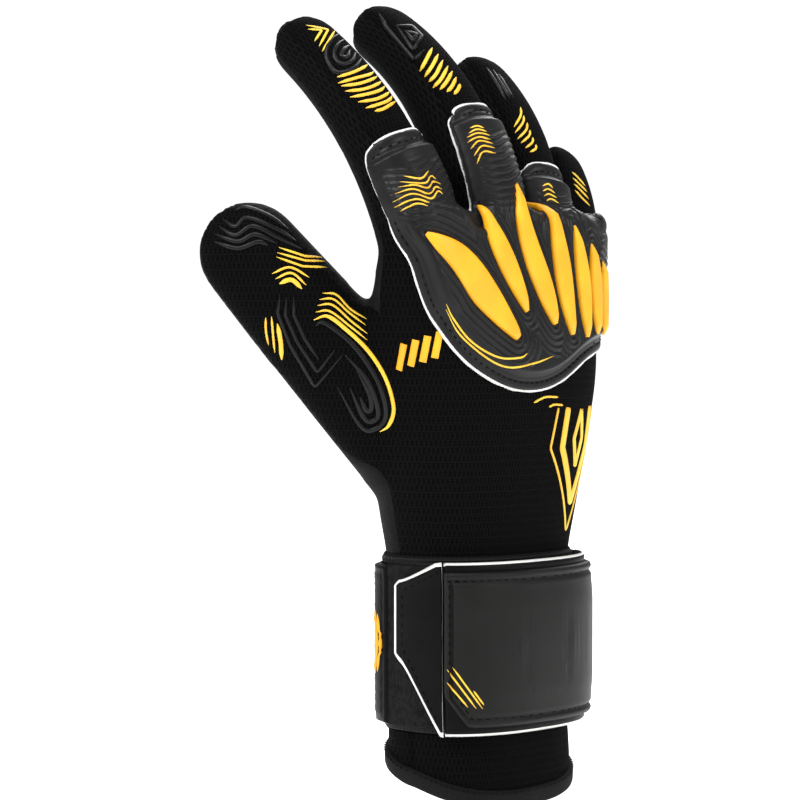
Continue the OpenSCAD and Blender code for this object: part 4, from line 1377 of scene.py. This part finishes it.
palm_strap = slab(-158, -104, even(28), even(83.5), LOOPS, 2.2, 1.2, palm_end)
finished("palm_strap_end", palm_strap, "cuff", "strap_web")
sewn_end = slab(86, 108, even(28), even(83), LOOPS, 3.8, 1.0)
finished("strap_sewn_end", sewn_end, "cuff", "strap_web", ["strap_anchor"])
band = slab(-61, 84, even(STRAP_LOW + 0.4), even(85.2), BAND, 1.1, 0.5)
finished("strap_band_web", band, "strap", "strap_web", ["strap_band"])
white_core = slab(-61, 70, even(STRAP_LOW + 0.15), even(85.4), BAND + 0.1, 0.7, 0.2)
finished("strap_white_core", white_core, "strap", "white_foam")
print("wrist layers from", ELASTIC, "to", BAND + 1.1, "mm off the sleeve")

# %% [markdown]
# The tab is what a hand takes hold of to open the strap. Its skin is two layers with white foam between,
# cut through in one stroke, so the foam shows as a bright line along the slanting edge. One layer painted
# white at the rim would have no depth there, so the core is a layer of its own, a little larger than the
# skin. The hooks are a patch on the inside, over the loops.

# %% The tab
TAB_LOW = outline_at((-93, 55), (-89, 51), (-64, 27), (-60, 26.4))
TAB_HIGH = outline_at((-93, 76), (-90, 78.4), (-66, 84.8), (-60, 85.2))
flap = slab(-92, -62.2, TAB_LOW, TAB_HIGH, BAND, 1.2, 0.6)
finished("strap_tab_flap", flap, "strap_tab", "strap_web", ["strap_tab"])
core = slab(-93.2, -62.2, lambda t: TAB_LOW(t + 0.8) - 0.9, lambda t: TAB_HIGH(t + 0.8) + 0.45,
            BAND + 0.15, 0.8, 0.2)
finished("strap_tab_core", core, "strap_tab", "white_foam")
finished("hook_field", slab(-87, -66, even(57), even(75), HOOKS, 0.9,
                            relief=lambda t, z, e: 0.15 * np.sin(t * 14) * np.sin(z * 11)), "strap_tab",
         "hook_plastic", ["hook_patch"])
print("tab made with its hooks")

# %% [markdown]
# The block on the strap is a cushion: a skin over soft foam, sewn down all round with one corner cut off.
# A cushion's crown comes from what is inside pushing out against the seam, so it is blown up as cloth with
# its border pinned. The solver runs on a coarse copy, which is quick, and the fine mesh takes its movement.

# %% The padded block
BLOCK_LOW = outline_at((-62, 44), (-60, 40), (-46, 29.5), (-42, 29))


def block_relief(t, z, edge):
    sewn = np.exp(-((edge - 3.2) / 0.7) ** 2)
    crown = smooth(3, 14, edge) * 0.6
    return -1.1 * sewn + crown


block = slab(-60.5, 80, BLOCK_LOW, even(82.5), BLOCK, 2.2, 3.0, block_relief, (200, 60))


def block_held(p):
    """The block is sewn down within 4 mm of its edge and lies flat on the strap underneath."""
    t, z = hand_local(p)
    edge = np.minimum(np.minimum(z - BLOCK_LOW(t), 82.5 - z), np.minimum(t + 60.5, 80 - t) * PER_DEGREE)
    radius = np.hypot(p[:, 0], p[:, 1]) - np.hypot(*hand_point(z, t)[:, :2].T)
    return (edge < 4.2) | (radius < BLOCK + 1.0)


def puff(bm, held, pressure=4.0, cap=1.6):
    """Blow a closed pad up as cloth on a coarse copy, and carry how far it moved over to the fine mesh."""
    rough = new_object("pad_rough", bm.copy())
    weld = rough.modifiers.new("weld", "REMESH")
    weld.mode, weld.voxel_size = "VOXEL", 2.5 * MM
    mesh = bpy.data.meshes.new_from_object(rough.evaluated_get(bpy.context.evaluated_depsgraph_get()))
    bpy.data.objects.remove(rough)
    rough = bpy.data.objects.new("pad_rough", mesh)
    bpy.context.scene.collection.objects.link(rough)
    start = np.array([v.co[:] for v in mesh.vertices])
    pins = rough.vertex_groups.new(name="pins")
    pins.add([int(i) for i in np.flatnonzero(held(start * 1000))], 1.0, "REPLACE")
    air = rough.modifiers.new("air", "CLOTH")
    air.settings.vertex_group_mass = "pins"
    air.settings.use_pressure, air.settings.uniform_pressure_force = True, pressure
    air.settings.effector_weights.gravity = 0
    for step in range(1, 21):
        bpy.context.scene.frame_set(step)
    done = rough.evaluated_get(bpy.context.evaluated_depsgraph_get()).data
    move = np.array([v.co[:] for v in done.vertices]) - start
    size = np.linalg.norm(move, axis=1)[:, None]
    move *= np.minimum(1, cap * MM / np.maximum(size, 1e-9))
    p = coords(bm)
    for i in range(0, len(p), 2000):
        w = 1 / (((p[i:i + 2000, None] - start[None]) ** 2).sum(2) + 1e-8) ** 2
        p[i:i + 2000] += (w @ move) / w.sum(1)[:, None]
    put(bm, p)
    bpy.context.scene.frame_set(1)
    bpy.data.objects.remove(rough)
    print("pad blown up by at most", round(float(size.max() * 1000), 2), "mm")


puff(block, block_held)
pad_block = finished("strap_block_padded", block, "strap", "strap_pad", ["strap_block"])

# %% [markdown]
# Thread runs round the block in the groove, and round the tab. The block's cut corner carries four thin
# stripes, and the end on the palm's side has three arches.

# %% Thread and stripes on the strap
strap_tree = {}
for name in ("strap_block_padded", "strap_tab_flap", "palm_strap_end"):
    bm = bmesh.new()
    bm.from_mesh(bpy.data.objects[name].data)
    strap_tree[name] = BVHTree.FromBMesh(bm)
    bm.free()


def on_wrist(path, surface, gap=0.4):
    """Points one gap apart along a path given in degrees round and height."""
    p = np.array(path, float)
    run = np.concatenate([[0], np.cumsum(np.hypot(np.diff(p[:, 0]) * PER_DEGREE, np.diff(p[:, 1])))])
    want = np.arange(0, run[-1], gap)
    line, normal = drape("hand", np.stack([np.interp(want, run, p[:, k]) for k in (0, 1)], 1), surface)
    return line * MM, np.gradient(line, axis=0), normal


round_block = [(-55.6, 79.3), (77, 79.3), (77, 32.2), (-41, 32.2), (-55.6, 43.5), (-55.6, 79.3)]
thread = stitch_bm(*on_wrist(round_block, strap_tree["strap_block_padded"]), 3.2, 1.05, 0.34)
finished("block_stitches", thread, "strap", "strap_pad", [], "thread")
round_tab = [(-64, 82), (-87, 76), (-89, 74), (-89, 55.5), (-64, 31)]
thread = stitch_bm(*on_wrist(round_tab, strap_tree["strap_tab_flap"]), 3.0, 0.95, 0.28)
finished("tab_stitches", thread, "strap_tab", "strap_web", [], "thread")
stripes = printed("strap", strap_tree["strap_block_padded"])
finished("strap_block_stripes", stripes, "strap", "print_yellow", ["strap_stripes"])
arch_paths = [[(-129 + 6 * k, 44 + k), (-123 + 6 * k, 56), (-129 + 6 * k, 68 - k)] for k in range(3)]
arches = film("hand", arch_paths, strap_tree["palm_strap_end"], 0.9, 0.4, tip=1.6)
finished("palm_strap_print", arches, "cuff", "rib_yellow")
print("strap sewn and printed")

# %% [markdown]
# The cuff's mouth is bound with tape folded over the raw edge, which is why the edge looks round and
# thick. The tape is a rounded bar that follows the sloping mouth and swallows the cut ends of the panels.

# %% The binding round the mouth
def hem(u, v):
    t, r = v * 360 - 180, u * 2 * math.pi
    tall = np.sign(np.sin(r)) * np.abs(np.sin(r)) ** 0.5
    wide = np.sign(np.cos(r)) * np.abs(np.cos(r)) ** 0.5
    return hand_point(hem_z(t) + 3 + tall * 3.1, t, -0.8 + wide * 2.0)


hem_bm = tube_on(hem, 16, 180)
add_map(hem_bm, "cuff")
finished("mouth_binding", hem_bm, "cuff", "binding", ["cuff_hem"])
angles = np.arange(-180, 180, 0.6)
hem_line = hand_point(hem_z(angles) + 5.1, angles, 1.25)
ahead = np.gradient(hem_line, axis=0)
outwards = hem_line - hand_point(hem_z(angles) + 5.1, angles, 0)
thread = stitch_bm(hem_line * MM, ahead, outwards, 2.8, 0.85, 0.25)
finished("mouth_stitches", thread, "cuff", "binding", [], "thread")
print("mouth bound, its rim", round(float(hem_z(170.0)), 1), "mm higher on the palm's side")

# %% [markdown]
# Nothing of the plain frame should still show, and the CAD nodes that still show are printed.

# %% Finish
remaining = [n for n, o in frame["nodes"].items() if not o.hide_render]
print("CAD nodes still shown:", remaining)
